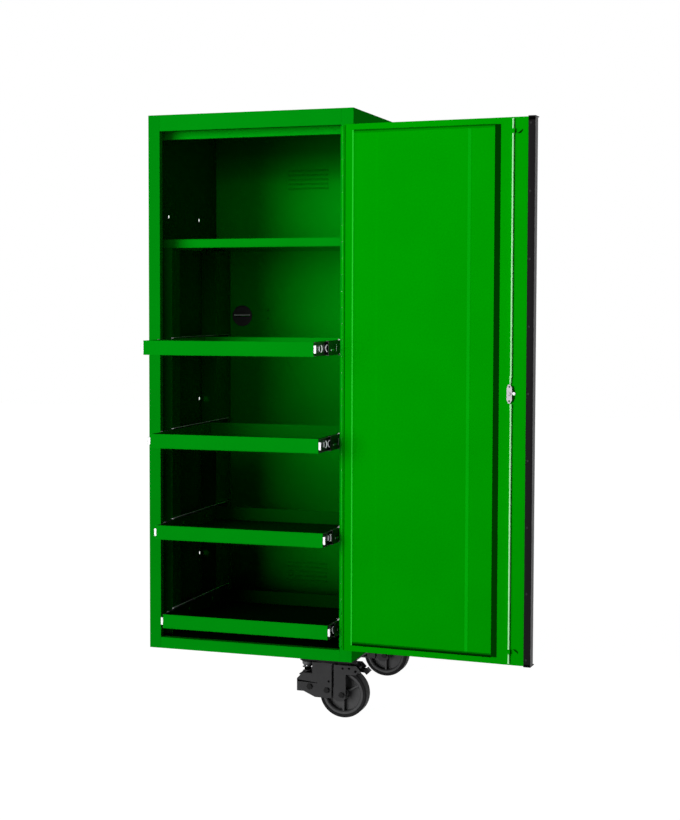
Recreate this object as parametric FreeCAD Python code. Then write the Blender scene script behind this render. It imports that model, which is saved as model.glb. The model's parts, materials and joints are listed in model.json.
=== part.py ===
import FreeCAD, Part
import math
import os

# Side locker for a rolling tool chest: a sheet-steel cabinet with a full-height
# inset door, four slide-out trays, a fixed shelf and two sprung swivel casters
# under its free side.  Millimetres, X to the right, Y to the back, Z up.
# Cabinet coordinates: x = 0 at mid-width, y = 0 on the front plane and z = 0 on
# the bottom edge.  Every part is written in the row frame, whose origin is the
# centre of the bolt rectangle on the outer left face.

V = FreeCAD.Vector
X_AXIS = V(1, 0, 0)
Y_AXIS = V(0, 1, 0)
Z_AXIS = V(0, 0, 1)
PARTS_FOLDER = "parts"
os.makedirs(PARTS_FOLDER, exist_ok=True)

# ---------------------------------------------------------------- dimensions
# Cabinet
BODY_W = 610.0
BODY_D = 762.0
BODY_H = 1533.0
SHEET = 1.2
STILE_W = 34.8
HEADER_H = 45.7
SILL_H = 32.0
FRAME_RETURN = 20.0
HEADER_STOP_Y = 60.0
HEADER_STOP_DROP = 18.8    # how far the stop hangs below the header
HEADER_STOP_HEM = 14.0
SLIDE_BACK_GAP = 32.6      # from the slides' rear ends to the inner back

# Bolt pattern that joins the locker to the chest
SIDE_BOLT_D = 9.5
SIDE_BOLT_FRONT_Y = 149.0
SIDE_BOLT_SPACING_Y = 241.0
SIDE_BOLT_LOW_Z = 220.0
SIDE_BOLT_SPACING_Z = 1032.0
SIDE_BOLT_MID_Z = 702.0

# Inner back
LOUVRE_W = 128.6
LOUVRE_H = 4.5
LOUVRE_PITCH = 13.7
LOUVRE_HOOD = 5.0
LOUVRE_COUNT = 5
LOUVRE_X = 1.3
UPPER_LOUVRE_DROP = 183.0  # from the cabinet's top to the lowest upper louvre
LOWER_LOUVRE_Z = 125.0
GROMMET_SIDE_GAP = 7.5     # from the rear upright to the grommet's rim
GROMMET_Z = 957.0
GROMMET_D = 65.0
GROMMET_BORE_D = 56.0
GROMMET_RIM = 2.5
GROMMET_SLIT = 6.0
BACK_HOLE_D = 6.0
BACK_HOLE_X = -131.0
BACK_HOLE_LOW_Z = 949.0
BACK_HOLE_SPACING = 24.0

# Fixed shelf and slide uprights
SHELF_TOP_Z = 1182.5
SHELF_LIP_H = 24.5
SHELF_FRONT_Y = 75.0
UPRIGHT_SHEET = 1.5
UPRIGHT_FRONT_Y = 55.0
UPRIGHT_FRONT_W = 60.0
UPRIGHT_REAR_W = 127.6

# Trays and slides
TRAY_COUNT = 4
TRAY_TOP_LIP_Z = 856.0     # underside of the top tray's lip
TRAY_PITCH = 263.0
TRAY_H = 40.0
TRAY_END_GAP = 3.0         # a closed tray ends this far before its slides
TRAY_HALF_W = 243.3
TRAY_LIP_OVERLAP = 3.7
TRAY_LIP_CLOSED_Y = 42.0
TRAY_HEM = 9.0
TRAY_OUT = (215.5, 170.5, 129.0, 82.5)
SLIDE_L = 457.0
SLIDE_H = 45.0
SLIDE_T = 12.7
SLIDE_FRONT_Y = 48.0
SLIDE_METAL = 1.2
OUTER_FLANGE_W = 8.0
SLIDE_GAP = 1.0
SLIDE_TAB_W = 7.5
SLIDE_TAB_H = 21.6
SLIDE_TAB_T = 1.5

# Door: u runs from the hinge axis to the free edge, v from the outer face inward
HINGE_X = 275.6
HINGE_Y = -4.5
HINGE_BARREL_D = 8.0
HINGE_PIN_D = 4.0
HINGE_BORE_CLEARANCE = 0.2
HINGE_LEAF_T = 1.2
HINGE_KNUCKLES = 32
HINGE_END_MARGIN = 2.0
KNUCKLE_GAP = 0.6
DOOR_OPEN_ANGLE = 176.8
DOOR_BOTTOM_GAP = 8.0
DOOR_TOP_GAP = 2.8
DOOR_T = 25.4
DOOR_HINGE_EDGE_U = 9.2
DOOR_FREE_GAP = 3.2
REBATE_END_U = 17.0
REBATE_DEPTH = 10.0
HINGE_FLANGE_END_U = 39.0
DOOR_END_FLANGE = 16.0
RECESS_DEPTH = 10.9
LOCK_STRIP_W = 90.0
SLOT_W = 18.0
STIFFENER_HINGE_GAP = 69.5
STIFFENER_SLOT_GAP = 66.0
STIFFENER_H = 3.5
FRAME_LEAF_CLEARANCE = 0.6
FRAME_LEAF_REACH = 18.0

# Pull along the free edge
PULL_T = 1.6
PULL_INNER_W = 19.1
PULL_OUTER_W = 36.0
PULL_GRIP = 14.0
PULL_GRIP_LIP = 9.0
PULL_CAP_T = 2.2
PULL_SCREWS = 9
PULL_SCREW_HEAD_D = 6.0
PULL_SCREW_HEAD_H = 1.6
PULL_SCREW_SHANK_D = 3.5
PULL_SCREW_END = 17.0
PULL_SCREW_INSET = 12.0

# Lock
LOCK_BACKSET = 61.0        # from the free end of the skin to the lock's axis
LOCK_Z = 761.0
CAM_W = 14.0
CAM_L = 50.0
CAM_T = 2.0
CAM_LIFT = 2.3
CAM_RIVET_D = 4.0
CAM_RIVET_INSET = 6.0
CAM_RIVET_H = 1.0
ROD_D = 5.0
ROD_OFFSET_U = 4.4         # from the lock's axis towards the free edge
ROD_END_INSET = 3.6
ROD_JOG = 1.5
ROD_JOG_L = 21.0
ROD_COUPLER_D = 6.2
ROD_COUPLER_L = 17.0
ROD_CAM_GAP = 1.5
ROD_LIFT = 0.4             # between the strip and the thickest part of a rod
GUIDE_INSET = 36.0
GUIDE_L = 12.0
GUIDE_T = 1.2
GUIDE_CLEARANCE = 0.6
BOSS_D = 9.0
BOSS_OFFSET_U = 11.5
BOSS_H = 1.8
LOCK_SPINDLE_D = 7.0
LOCK_FACE_D = 22.0
LOCK_FACE_H = 3.0
LOCK_KEYWAY = 2.0
LOCK_BARREL_D = 17.6
LOCK_BORE_CLEARANCE = 0.4

# Casters: measured from the swivel axis, z = 0 on the cabinet's bottom edge
CASTER_X = (201.0, 175.0)
CASTER_EDGE_Y = 105.0
CASTER_NAMES = ("front", "rear")
OVERALL_DROP = 179.8
WHEEL_D = 138.0
WHEEL_W = 44.0
WHEEL_TRAIL = 54.0
TYRE_T = 10.0
RIM_T = 9.0
RIM_INSET = 1.5
RIM_CHAMFER = 3.0
TYRE_SHOULDER_H = 3.0
TYRE_SHOULDER_W = 4.5
WEB_T = 5.0
HUB_D = 32.0
HUB_CHAMFER = 2.0
AXLE_D = 12.0
AXLE_CLEARANCE = 0.3
WHEEL_RIBS = 3
RIB_T = 5.0
RIB_INSET = 5.0
RIB_ROOT = 1.0
MOUNT_LEFT = 62.0
MOUNT_RIGHT = 105.0
MOUNT_D = 114.0
MOUNT_DEPTH = 15.0
MOUNT_T = 4.0
RACEWAY_T = 4.0
RACEWAY_OVERHANG = 4.0
CROWN_GAP = 0.6
CROWN_TOP_D = 50.0
CROWN_D = 66.0
CROWN_Z = -24.0
KINGPIN_D = 12.0
CHEEK_T = 3.0
CHEEK_INNER = 30.0
BAR_GAP = 0.3
BAR_T = 3.0
BAR_R = 13.0
BAR_SPACER_INSET = 1.0
PIVOT_X = 9.0
PIVOT_Z = -101.0
TAIL_X = -42.0
TAIL_Z = -93.5
CHEEK_NECK_X = -34.5
CHEEK_TOP_Z = -56.0
CHEEK_LEFT = -80.0
CHEEK_CORNER = 17.0
CHEEK_TAIL_X = -60.0
CHEEK_TAIL_Z = -109.0
CHEEK_BELLY_X = -26.0
CHEEK_BOTTOM_Z = -124.0
CHEEK_RIGHT = 26.0
TAIL_SLOT_CLEARANCE = 1.0
TAIL_SLOT_DROP = 5.0
LEG_LEFT = 31.0
LEG_W = 35.0
LEG_TOP_Z = -26.0
LEG_DROP = 19.0            # how far the legs reach below the axle
LEG_CORNER = 9.0
EAR_END_X = 107.0
EAR_LOW_Z = -52.0
EAR_CORNER = 12.0
SHELF_INSET = 6.0
SHELF_Z = -60.0
SPRING_X = -58.0
SPRING_OD = 30.0
SPRING_WIRE = 4.4
SPRING_TURNS = 3
SPRING_TOP_Z = -25.0
SPRING_SEAT_GAP = 0.1
DRAW_D = 6.0
DRAW_HOLE_D = 9.2
DRAW_NUT_D = 12.0
DRAW_NUT_H = 5.0
DRAW_NUT_GAP = 0.6
DRAW_WASHER_T = 1.8
CROSSBAR_D = 16.0
PIN_D = 8.0
PIN_HEAD_D = 14.0
PIN_HEAD_H = 5.5
BRAKE_X = 95.0
BRAKE_Z = -41.0
BRAKE_PIN_D = 7.0
BRAKE_HUB_D = 15.0
BRAKE_BAR_X = 120.0
BRAKE_BAR_Z = -44.0
BRAKE_BAR = 14.0
BRAKE_BAR_L = 20.0
BRAKE_ARM_T = 4.0
BRAKE_ARM_R = 5.0
BRAKE_ARM_INNER = 6.0
BRAKE_SHOE_REACH = 11.1
BRAKE_SHOE_W = 38.0
BRAKE_SHOE_T = 8.0
BRAKE_SHOE_BACK_ANGLE = 35.0
BRAKE_BAR_TURN = 45.0
MOUNT_BOLT_D = 8.0
MOUNT_BOLT_HEAD_D = 13.0
MOUNT_BOLT_HEAD_H = 5.3
MOUNT_BOLT_GRIP = 6.0
MOUNT_BOLT_LEFT_INSET = 14.0
MOUNT_BOLT_INSET = 16.0
FLOOR_CHANNEL_T = 2.0

# ------------------------------------------------------------- worked out
HALF_W = BODY_W / 2.0
OPENING_HALF_W = HALF_W - STILE_W
HEADER_Z = BODY_H - HEADER_H
INSIDE_HALF_W = HALF_W - SHEET
SIDE_BOLT_MID_Y = SIDE_BOLT_FRONT_Y + SIDE_BOLT_SPACING_Y / 2.0
ORIGIN = V(-HALF_W, SIDE_BOLT_MID_Y, SIDE_BOLT_LOW_Z + SIDE_BOLT_SPACING_Z / 2.0)
STORAGE_D = SLIDE_FRONT_Y + SLIDE_L + SLIDE_BACK_GAP
UPRIGHT_INNER_X = TRAY_HALF_W + SLIDE_T
GROMMET_X = -UPRIGHT_INNER_X + GROMMET_SIDE_GAP + GROMMET_D / 2.0
TRAY_D = SLIDE_FRONT_Y + SLIDE_L - TRAY_END_GAP - TRAY_LIP_CLOSED_Y
DOOR_Z0 = SILL_H + DOOR_BOTTOM_GAP
DOOR_Z1 = HEADER_Z - DOOR_TOP_GAP
DOOR_END_U = HINGE_X + OPENING_HALF_W - DOOR_FREE_GAP
DOOR_FLANGE_V = DOOR_T - SHEET
RECESS_V = DOOR_T - RECESS_DEPTH
SKIN_END_U = DOOR_END_U - PULL_T
SLOT_END_U = SKIN_END_U - LOCK_STRIP_W
RECESS_END_U = SLOT_END_U - SLOT_W
LOCK_U = SKIN_END_U - LOCK_BACKSET
ROD_U = LOCK_U + ROD_OFFSET_U


# ------------------------------------------------------------- helpers
def box(x0, x1, y0, y1, z0, z1):
    """Box between two corners."""
    return Part.makeBox(x1 - x0, y1 - y0, z1 - z0, V(x0, y0, z0))


def rod(point, axis, radius, length):
    """Cylinder that starts at a point and runs along an axis."""
    return Part.makeCylinder(radius, length, point, axis)


def fuse(shapes):
    """One solid from touching or overlapping pieces."""
    return shapes[0].multiFuse(shapes[1:]).removeSplitter()


def group(shapes):
    """Separate solids kept together in one node."""
    return Part.makeCompound(shapes)


def both_sides(shape):
    """A shape and its mirror image across the mid-width plane."""
    return [shape, shape.mirror(V(0, 0, 0), X_AXIS)]


def prism(points, axis, length):
    """Straight prism on a closed outline."""
    wire = Part.makePolygon([V(*p) for p in points] + [V(*points[0])])
    return Part.Face(wire).extrude(axis * length)


def hexagon(point, axis, across, height):
    """Hexagonal prism about a point."""
    radius = across / math.sqrt(3.0)
    corners = []
    for i in range(6):
        angle = math.radians(60.0 * i)
        corners.append((radius * math.cos(angle), radius * math.sin(angle), 0.0))
    solid = prism(corners, Z_AXIS, height)
    solid.Placement = FreeCAD.Placement(point, FreeCAD.Rotation(Z_AXIS, axis))
    return solid


def turned(profile, centre):
    """Solid of revolution about an axis along Y; profile holds (radius, y)."""
    points = [V(r, y, 0) for r, y in profile]
    face = Part.Face(Part.makePolygon(points + [points[0]]))
    solid = face.revolve(V(0, 0, 0), Y_AXIS, 360)
    solid.translate(centre)
    return solid


def write(name, shape):
    """Write one node in the row frame."""
    moved = shape.copy()
    moved.translate(-ORIGIN)
    moved.exportStep(PARTS_FOLDER + "/" + name + ".step")


# ------------------------------------------------------------- cabinet
def side_bolt_holes():
    """Clearance holes of the bolt pattern through the left side."""
    start_x = -HALF_W - SHEET
    rows = (SIDE_BOLT_LOW_Z, SIDE_BOLT_MID_Z, SIDE_BOLT_LOW_Z + SIDE_BOLT_SPACING_Z)
    holes = []
    for z in rows:
        for y in (SIDE_BOLT_FRONT_Y, SIDE_BOLT_FRONT_Y + SIDE_BOLT_SPACING_Y):
            holes.append(rod(V(start_x, y, z), X_AXIS, SIDE_BOLT_D / 2.0, 3.0 * SHEET))
    return holes


def side_panel():
    """Flat left side from the front frame to the rear."""
    return box(-HALF_W, -INSIDE_HALF_W, SHEET, BODY_D, 0.0, BODY_H)


def stile():
    """Left front stile: a face and a return into the cabinet."""
    face = box(-HALF_W, -OPENING_HALF_W, 0.0, SHEET, 0.0, BODY_H)
    z1 = BODY_H - SHEET
    back = box(-OPENING_HALF_W - SHEET, -OPENING_HALF_W, SHEET, FRAME_RETURN, 0.0, z1)
    return fuse([face, back])


def rail(z0, z1, return_z):
    """Front rail between the stiles, with one return."""
    face = box(-OPENING_HALF_W, OPENING_HALF_W, 0.0, SHEET, z0, z1)
    back = box(-OPENING_HALF_W, OPENING_HALF_W, SHEET, FRAME_RETURN, return_z, return_z + SHEET)
    return fuse([face, back])


def header_stop():
    """Door stop that hangs behind the header."""
    low = HEADER_Z - HEADER_STOP_DROP
    y1 = HEADER_STOP_Y + SHEET
    web = box(-INSIDE_HALF_W, INSIDE_HALF_W, HEADER_STOP_Y, y1, low, BODY_H - SHEET)
    hem = box(-INSIDE_HALF_W, INSIDE_HALF_W, y1, y1 + HEADER_STOP_HEM, low, low + SHEET)
    return fuse([web, hem])


def louvre(z):
    """Slot through the inner back and the hood above it."""
    x0 = LOUVRE_X - LOUVRE_W / 2.0
    x1 = LOUVRE_X + LOUVRE_W / 2.0
    slot = box(x0, x1, STORAGE_D - SHEET, STORAGE_D + 2.0 * SHEET, z, z + LOUVRE_H)
    back = STORAGE_D + SHEET / 2.0
    front = STORAGE_D - LOUVRE_HOOD
    profile = [(x0, back, z + LOUVRE_H),
               (x0, front, z),
               (x0, front, z - SHEET),
               (x0, back, z + LOUVRE_H - 2.0 * SHEET)]
    lifted = [(x, y, level + SHEET) for x, y, level in profile]
    return slot, prism(lifted, X_AXIS, LOUVRE_W)


def inner_back_panel():
    """Back of the storage space, with two louvre groups and its holes."""
    y1 = STORAGE_D + SHEET
    sheet = box(-INSIDE_HALF_W, INSIDE_HALF_W, STORAGE_D, y1, SILL_H, BODY_H - SHEET)
    slots = []
    hoods = []
    for group_z in (BODY_H - UPPER_LOUVRE_DROP, LOWER_LOUVRE_Z):
        for i in range(LOUVRE_COUNT):
            slot, hood = louvre(group_z + i * LOUVRE_PITCH)
            slots.append(slot)
            hoods.append(hood)
    holes = [rod(V(GROMMET_X, STORAGE_D - SHEET, GROMMET_Z), Y_AXIS, GROMMET_BORE_D / 2.0, 4.0 * SHEET)]
    for i in range(2):
        place = V(BACK_HOLE_X, STORAGE_D - SHEET, BACK_HOLE_LOW_Z + i * BACK_HOLE_SPACING)
        holes.append(rod(place, Y_AXIS, BACK_HOLE_D / 2.0, 4.0 * SHEET))
    return fuse([sheet.cut(group(slots + holes))] + hoods)


def cable_grommet():
    """Soft grommet in the inner back: a rim, a sleeve and a slit disc."""
    rim = rod(V(GROMMET_X, STORAGE_D - GROMMET_RIM, GROMMET_Z), Y_AXIS, GROMMET_D / 2.0, GROMMET_RIM)
    depth = GROMMET_RIM + 2.0 * SHEET
    sleeve = rod(V(GROMMET_X, STORAGE_D - GROMMET_RIM, GROMMET_Z), Y_AXIS, GROMMET_BORE_D / 2.0, depth)
    half = GROMMET_BORE_D / 2.0 - 2.0 * GROMMET_RIM
    slit = box(GROMMET_X - half, GROMMET_X + half,
               STORAGE_D - 2.0 * GROMMET_RIM, STORAGE_D + 2.0 * depth,
               GROMMET_Z - GROMMET_SLIT / 2.0, GROMMET_Z + GROMMET_SLIT / 2.0)
    return fuse([rim, sleeve]).cut(slit)


def fixed_shelf():
    """Shelf deck with a lip in front and flanges at its other edges."""
    z0 = SHELF_TOP_Z - SHELF_LIP_H
    deck = box(-INSIDE_HALF_W, INSIDE_HALF_W, SHELF_FRONT_Y, STORAGE_D, SHELF_TOP_Z - SHEET, SHELF_TOP_Z)
    lip = box(-INSIDE_HALF_W, INSIDE_HALF_W, SHELF_FRONT_Y, SHELF_FRONT_Y + SHEET, z0, SHELF_TOP_Z)
    rear = box(-INSIDE_HALF_W, INSIDE_HALF_W, STORAGE_D - SHEET, STORAGE_D, z0, SHELF_TOP_Z)
    side = box(-INSIDE_HALF_W, -INSIDE_HALF_W + SHEET, SHELF_FRONT_Y, STORAGE_D, z0, SHELF_TOP_Z)
    return fuse([deck, lip, rear] + both_sides(side))


def upright(y0, y1):
    """Left channel that carries the slides, open towards the side panel."""
    z1 = SHELF_TOP_Z - SHELF_LIP_H
    web = box(-UPRIGHT_INNER_X - UPRIGHT_SHEET, -UPRIGHT_INNER_X, y0, y1, SILL_H, z1)
    front = box(-INSIDE_HALF_W, -UPRIGHT_INNER_X, y0, y0 + UPRIGHT_SHEET, SILL_H, z1)
    back = box(-INSIDE_HALF_W, -UPRIGHT_INNER_X, y1 - UPRIGHT_SHEET, y1, SILL_H, z1)
    return fuse([web, front, back])


def make_cabinet():
    """Write the fixed sheet-metal parts of the cabinet."""
    left, right = both_sides(side_panel())
    write("left_side_panel", left.cut(group(side_bolt_holes())))
    write("right_side_panel", right)
    left, right = both_sides(stile())
    write("left_stile", left)
    write("right_stile", right)
    write("header_rail", rail(HEADER_Z, BODY_H, HEADER_Z))
    write("sill_rail", rail(0.0, SILL_H, SILL_H - SHEET))
    inside_y1 = BODY_D - SHEET
    write("top_panel", box(-INSIDE_HALF_W, INSIDE_HALF_W, SHEET, inside_y1, BODY_H - SHEET, BODY_H))
    write("floor_panel",
          box(-INSIDE_HALF_W, INSIDE_HALF_W, FRAME_RETURN, inside_y1, SILL_H - SHEET, SILL_H))
    write("rear_panel", box(-INSIDE_HALF_W, INSIDE_HALF_W, inside_y1, BODY_D, 0.0, BODY_H))
    write("inner_back_panel", inner_back_panel())
    write("cable_grommet", cable_grommet())
    write("header_stop", header_stop())
    write("fixed_shelf", fixed_shelf())
    uprights = both_sides(upright(UPRIGHT_FRONT_Y, UPRIGHT_FRONT_Y + UPRIGHT_FRONT_W))
    uprights += both_sides(upright(STORAGE_D - UPRIGHT_REAR_W, STORAGE_D))
    write("slide_uprights", group(uprights))


# ------------------------------------------------------------- trays and slides
def channel(web_x, flange_x, half_height, y0, z):
    """C-section slide member on the right side, its web at the given face."""
    inward = 1.0 if flange_x > web_x else -1.0
    web_x1 = web_x + inward * SLIDE_METAL
    low_x, high_x = sorted((web_x, flange_x))
    web = box(min(web_x, web_x1), max(web_x, web_x1), y0, y0 + SLIDE_L, z - half_height, z + half_height)
    top = box(low_x, high_x, y0, y0 + SLIDE_L, z + half_height - SLIDE_METAL, z + half_height)
    low = box(low_x, high_x, y0, y0 + SLIDE_L, z - half_height, z - half_height + SLIDE_METAL)
    return fuse([web, top, low])


def outer_member(z):
    """Slide member fixed to the uprights."""
    return channel(UPRIGHT_INNER_X, UPRIGHT_INNER_X - OUTER_FLANGE_W, SLIDE_H / 2.0, SLIDE_FRONT_Y, z)


def middle_member(z, out):
    """Slide member between the other two; it travels half as far as the tray."""
    web_x = UPRIGHT_INNER_X - SLIDE_METAL - SLIDE_GAP
    half_height = SLIDE_H / 2.0 - SLIDE_METAL - SLIDE_GAP
    flange_x = TRAY_HALF_W + SLIDE_METAL + 2.0 * SLIDE_GAP
    return channel(web_x, flange_x, half_height, SLIDE_FRONT_Y - out / 2.0, z)


def inner_member(z, out):
    """Slide member on the tray's side, with a tab behind the lip's end."""
    half_height = SLIDE_H / 2.0 - 2.0 * SLIDE_METAL - 1.5 * SLIDE_GAP
    y0 = SLIDE_FRONT_Y - out
    bar = channel(TRAY_HALF_W, UPRIGHT_INNER_X - 2.0 * SLIDE_METAL - 3.0 * SLIDE_GAP, half_height, y0, z)
    lip_back = TRAY_LIP_CLOSED_Y - out + SHEET
    tab_x0 = TRAY_HALF_W + TRAY_LIP_OVERLAP
    tab = box(TRAY_HALF_W, tab_x0 + SLIDE_TAB_W,
              lip_back, lip_back + SLIDE_TAB_T,
              z - SLIDE_TAB_H / 2.0, z + SLIDE_TAB_H / 2.0)
    neck = box(TRAY_HALF_W, TRAY_HALF_W + SLIDE_METAL,
               lip_back, y0 + SLIDE_METAL,
               z - SLIDE_TAB_H / 2.0, z + SLIDE_TAB_H / 2.0)
    return fuse([bar, tab, neck])


def tray(z0, out):
    """Shallow open tray whose lip is a little wider than its sides."""
    y0 = TRAY_LIP_CLOSED_Y - out
    y1 = y0 + TRAY_D
    z1 = z0 + TRAY_H
    lip_half = TRAY_HALF_W + TRAY_LIP_OVERLAP
    lip = box(-lip_half, lip_half, y0, y0 + SHEET, z0, z1)
    hem = box(-TRAY_HALF_W, TRAY_HALF_W, y0, y0 + TRAY_HEM, z1 - SHEET, z1)
    floor = box(-TRAY_HALF_W, TRAY_HALF_W, y0, y1, z0, z0 + SHEET)
    rear = box(-TRAY_HALF_W, TRAY_HALF_W, y1 - SHEET, y1, z0, z1)
    side = box(-TRAY_HALF_W, -TRAY_HALF_W + SHEET, y0, y1, z0, z1)
    return fuse([lip, hem, floor, rear] + both_sides(side))


def make_trays():
    """Write the trays and the members of their slides, from the top down."""
    outer = []
    for i in range(TRAY_COUNT):
        z0 = TRAY_TOP_LIP_Z - i * TRAY_PITCH
        z_mid = z0 + TRAY_H / 2.0
        number = str(i + 1)
        write("tray_" + number, tray(z0, TRAY_OUT[i]))
        write("slide_inner_" + number, group(both_sides(inner_member(z_mid, TRAY_OUT[i]))))
        write("slide_middle_" + number, group(both_sides(middle_member(z_mid, TRAY_OUT[i]))))
        outer += both_sides(outer_member(z_mid))
    write("slide_outer_members", group(outer))


# ------------------------------------------------------------- door
def dbox(u0, u1, v0, v1, z0, z1):
    """Box on the closed door, in the door's own u and v."""
    return box(HINGE_X - u1, HINGE_X - u0, v0, v1, z0, z1)


def dpoint(u, v, z):
    """Point on the closed door."""
    return V(HINGE_X - u, v, z)


def swing(shape):
    """Turn a closed door part to the open position."""
    moved = shape.copy()
    moved.rotate(V(HINGE_X, HINGE_Y, 0), Z_AXIS, DOOR_OPEN_ANGLE)
    return moved


def door_skin():
    """Outer face of the door with its four edges and the hinge rebate."""
    rebate_v = REBATE_DEPTH - SHEET
    end_u = SKIN_END_U
    pieces = [
        dbox(DOOR_HINGE_EDGE_U, end_u, 0.0, SHEET, DOOR_Z0, DOOR_Z1),
        dbox(DOOR_HINGE_EDGE_U, DOOR_HINGE_EDGE_U + SHEET, 0.0, REBATE_DEPTH, DOOR_Z0, DOOR_Z1),
        dbox(DOOR_HINGE_EDGE_U, REBATE_END_U + SHEET, rebate_v, REBATE_DEPTH, DOOR_Z0, DOOR_Z1),
        dbox(REBATE_END_U, REBATE_END_U + SHEET, rebate_v, DOOR_FLANGE_V, DOOR_Z0, DOOR_Z1),
        dbox(end_u - SHEET, end_u, 0.0, DOOR_FLANGE_V, DOOR_Z0, DOOR_Z1),
    ]
    for z0 in (DOOR_Z0, DOOR_Z1 - SHEET):
        pieces.append(dbox(DOOR_HINGE_EDGE_U, REBATE_END_U + SHEET, 0.0, REBATE_DEPTH, z0, z0 + SHEET))
        pieces.append(dbox(REBATE_END_U, end_u, 0.0, DOOR_FLANGE_V, z0, z0 + SHEET))
    return fuse(pieces)


def door_liner():
    """Inner sheet: hinge flange, end flanges and the recessed floor."""
    z0 = DOOR_Z0 + DOOR_END_FLANGE
    z1 = DOOR_Z1 - DOOR_END_FLANGE
    wall_u = HINGE_FLANGE_END_U - SHEET
    pieces = [
        dbox(REBATE_END_U, HINGE_FLANGE_END_U, DOOR_FLANGE_V, DOOR_T, DOOR_Z0, DOOR_Z1),
        dbox(REBATE_END_U, SLOT_END_U, DOOR_FLANGE_V, DOOR_T, DOOR_Z0, z0),
        dbox(REBATE_END_U, SLOT_END_U, DOOR_FLANGE_V, DOOR_T, z1, DOOR_Z1),
        dbox(wall_u, HINGE_FLANGE_END_U, RECESS_V - SHEET, DOOR_T, z0 - SHEET, z1 + SHEET),
        dbox(wall_u, RECESS_END_U, RECESS_V - SHEET, RECESS_V, z0 - SHEET, z1 + SHEET),
        dbox(wall_u, RECESS_END_U, RECESS_V - SHEET, DOOR_T, z0 - SHEET, z0),
        dbox(wall_u, RECESS_END_U, RECESS_V - SHEET, DOOR_T, z1, z1 + SHEET),
        dbox(RECESS_END_U - SHEET, RECESS_END_U, SHEET, RECESS_V, z0 - SHEET, z1 + SHEET),
    ]
    return fuse(pieces)


def door_stiffener():
    """Wide shallow hat on the recessed floor."""
    u0 = HINGE_FLANGE_END_U + STIFFENER_HINGE_GAP
    u1 = RECESS_END_U - STIFFENER_SLOT_GAP
    z0 = DOOR_Z0 + DOOR_END_FLANGE
    z1 = DOOR_Z1 - DOOR_END_FLANGE
    top = RECESS_V + STIFFENER_H
    outside = dbox(u0, u1, RECESS_V, top, z0, z1)
    inside = dbox(u0 + SHEET, u1 - SHEET, RECESS_V - SHEET, top - SHEET, z0 + SHEET, z1 - SHEET)
    return outside.cut(inside)


def rod_guide(z):
    """Lanced bridge over a lock rod."""
    half_in = ROD_D / 2.0 + GUIDE_CLEARANCE
    half_out = half_in + GUIDE_T
    top_in = rod_v() + half_in
    outside = dbox(ROD_U - half_out, ROD_U + half_out, DOOR_T, top_in + GUIDE_T, z, z + GUIDE_L)
    inside = dbox(ROD_U - half_in, ROD_U + half_in, DOOR_T - SHEET, top_in, z - GUIDE_L, z + 2.0 * GUIDE_L)
    return outside.cut(inside)


def door_lock_channel():
    """Strip that carries the lock and its rods, with a wall down to the skin."""
    inner_z0 = DOOR_Z0 + SHEET
    inner_z1 = DOOR_Z1 - SHEET
    guide_z = (DOOR_Z0 + GUIDE_INSET - GUIDE_L / 2.0, DOOR_Z1 - GUIDE_INSET - GUIDE_L / 2.0)
    strip = dbox(SLOT_END_U, SKIN_END_U, DOOR_FLANGE_V, DOOR_T, DOOR_Z0, DOOR_Z1)
    wall = dbox(SLOT_END_U, SLOT_END_U + SHEET, SHEET, DOOR_T, inner_z0, inner_z1)
    boss = rod(dpoint(LOCK_U + BOSS_OFFSET_U, DOOR_FLANGE_V, LOCK_Z), Y_AXIS, BOSS_D / 2.0, SHEET + BOSS_H)
    bore_r = LOCK_SPINDLE_D / 2.0 + LOCK_BORE_CLEARANCE
    bore = rod(dpoint(LOCK_U, 0.0, LOCK_Z), Y_AXIS, bore_r, 2.0 * DOOR_T)
    solid = fuse([strip, wall, boss] + [rod_guide(z) for z in guide_z])
    return solid.cut(bore)


def knuckle_spans():
    """Start and end heights of the hinge knuckles."""
    length = (DOOR_Z1 - DOOR_Z0 - 2.0 * HINGE_END_MARGIN) / HINGE_KNUCKLES
    spans = []
    for i in range(HINGE_KNUCKLES):
        z0 = DOOR_Z0 + HINGE_END_MARGIN + i * length
        spans.append((z0 + KNUCKLE_GAP / 2.0, z0 + length - KNUCKLE_GAP / 2.0))
    return spans


def hinge_leaf(spans, flat_v, sheets, bore_d):
    """Leaf with its knuckles; the flat joins each knuckle at its tangent."""
    barrel_r = HINGE_BARREL_D / 2.0
    flat_u = barrel_r + FRAME_LEAF_CLEARANCE
    pieces = list(sheets)
    for z0, z1 in spans:
        pieces.append(rod(V(HINGE_X, HINGE_Y, z0), Z_AXIS, barrel_r, z1 - z0))
        pieces.append(dbox(0.0, flat_u, flat_v, flat_v + HINGE_LEAF_T, z0, z1))
    bore = rod(V(HINGE_X, HINGE_Y, 0.0), Z_AXIS, bore_d / 2.0, BODY_H)
    solid = fuse(pieces)
    return solid.cut(bore)


def hinge_frame_leaf():
    """Leaf on the right stile's return."""
    flat_u = HINGE_BARREL_D / 2.0 + FRAME_LEAF_CLEARANCE
    stile_u = HINGE_X - OPENING_HALF_W
    edge_u = stile_u + HINGE_LEAF_T
    flat_v = -FRAME_LEAF_CLEARANCE - HINGE_LEAF_T
    z0 = DOOR_Z0 + HINGE_END_MARGIN
    z1 = DOOR_Z1 - HINGE_END_MARGIN
    sheets = [dbox(stile_u, edge_u, flat_v, FRAME_LEAF_REACH, z0, z1),
              dbox(flat_u, edge_u, flat_v, flat_v + HINGE_LEAF_T, z0, z1)]
    return hinge_leaf(knuckle_spans()[0::2], flat_v, sheets, HINGE_PIN_D)


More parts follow.
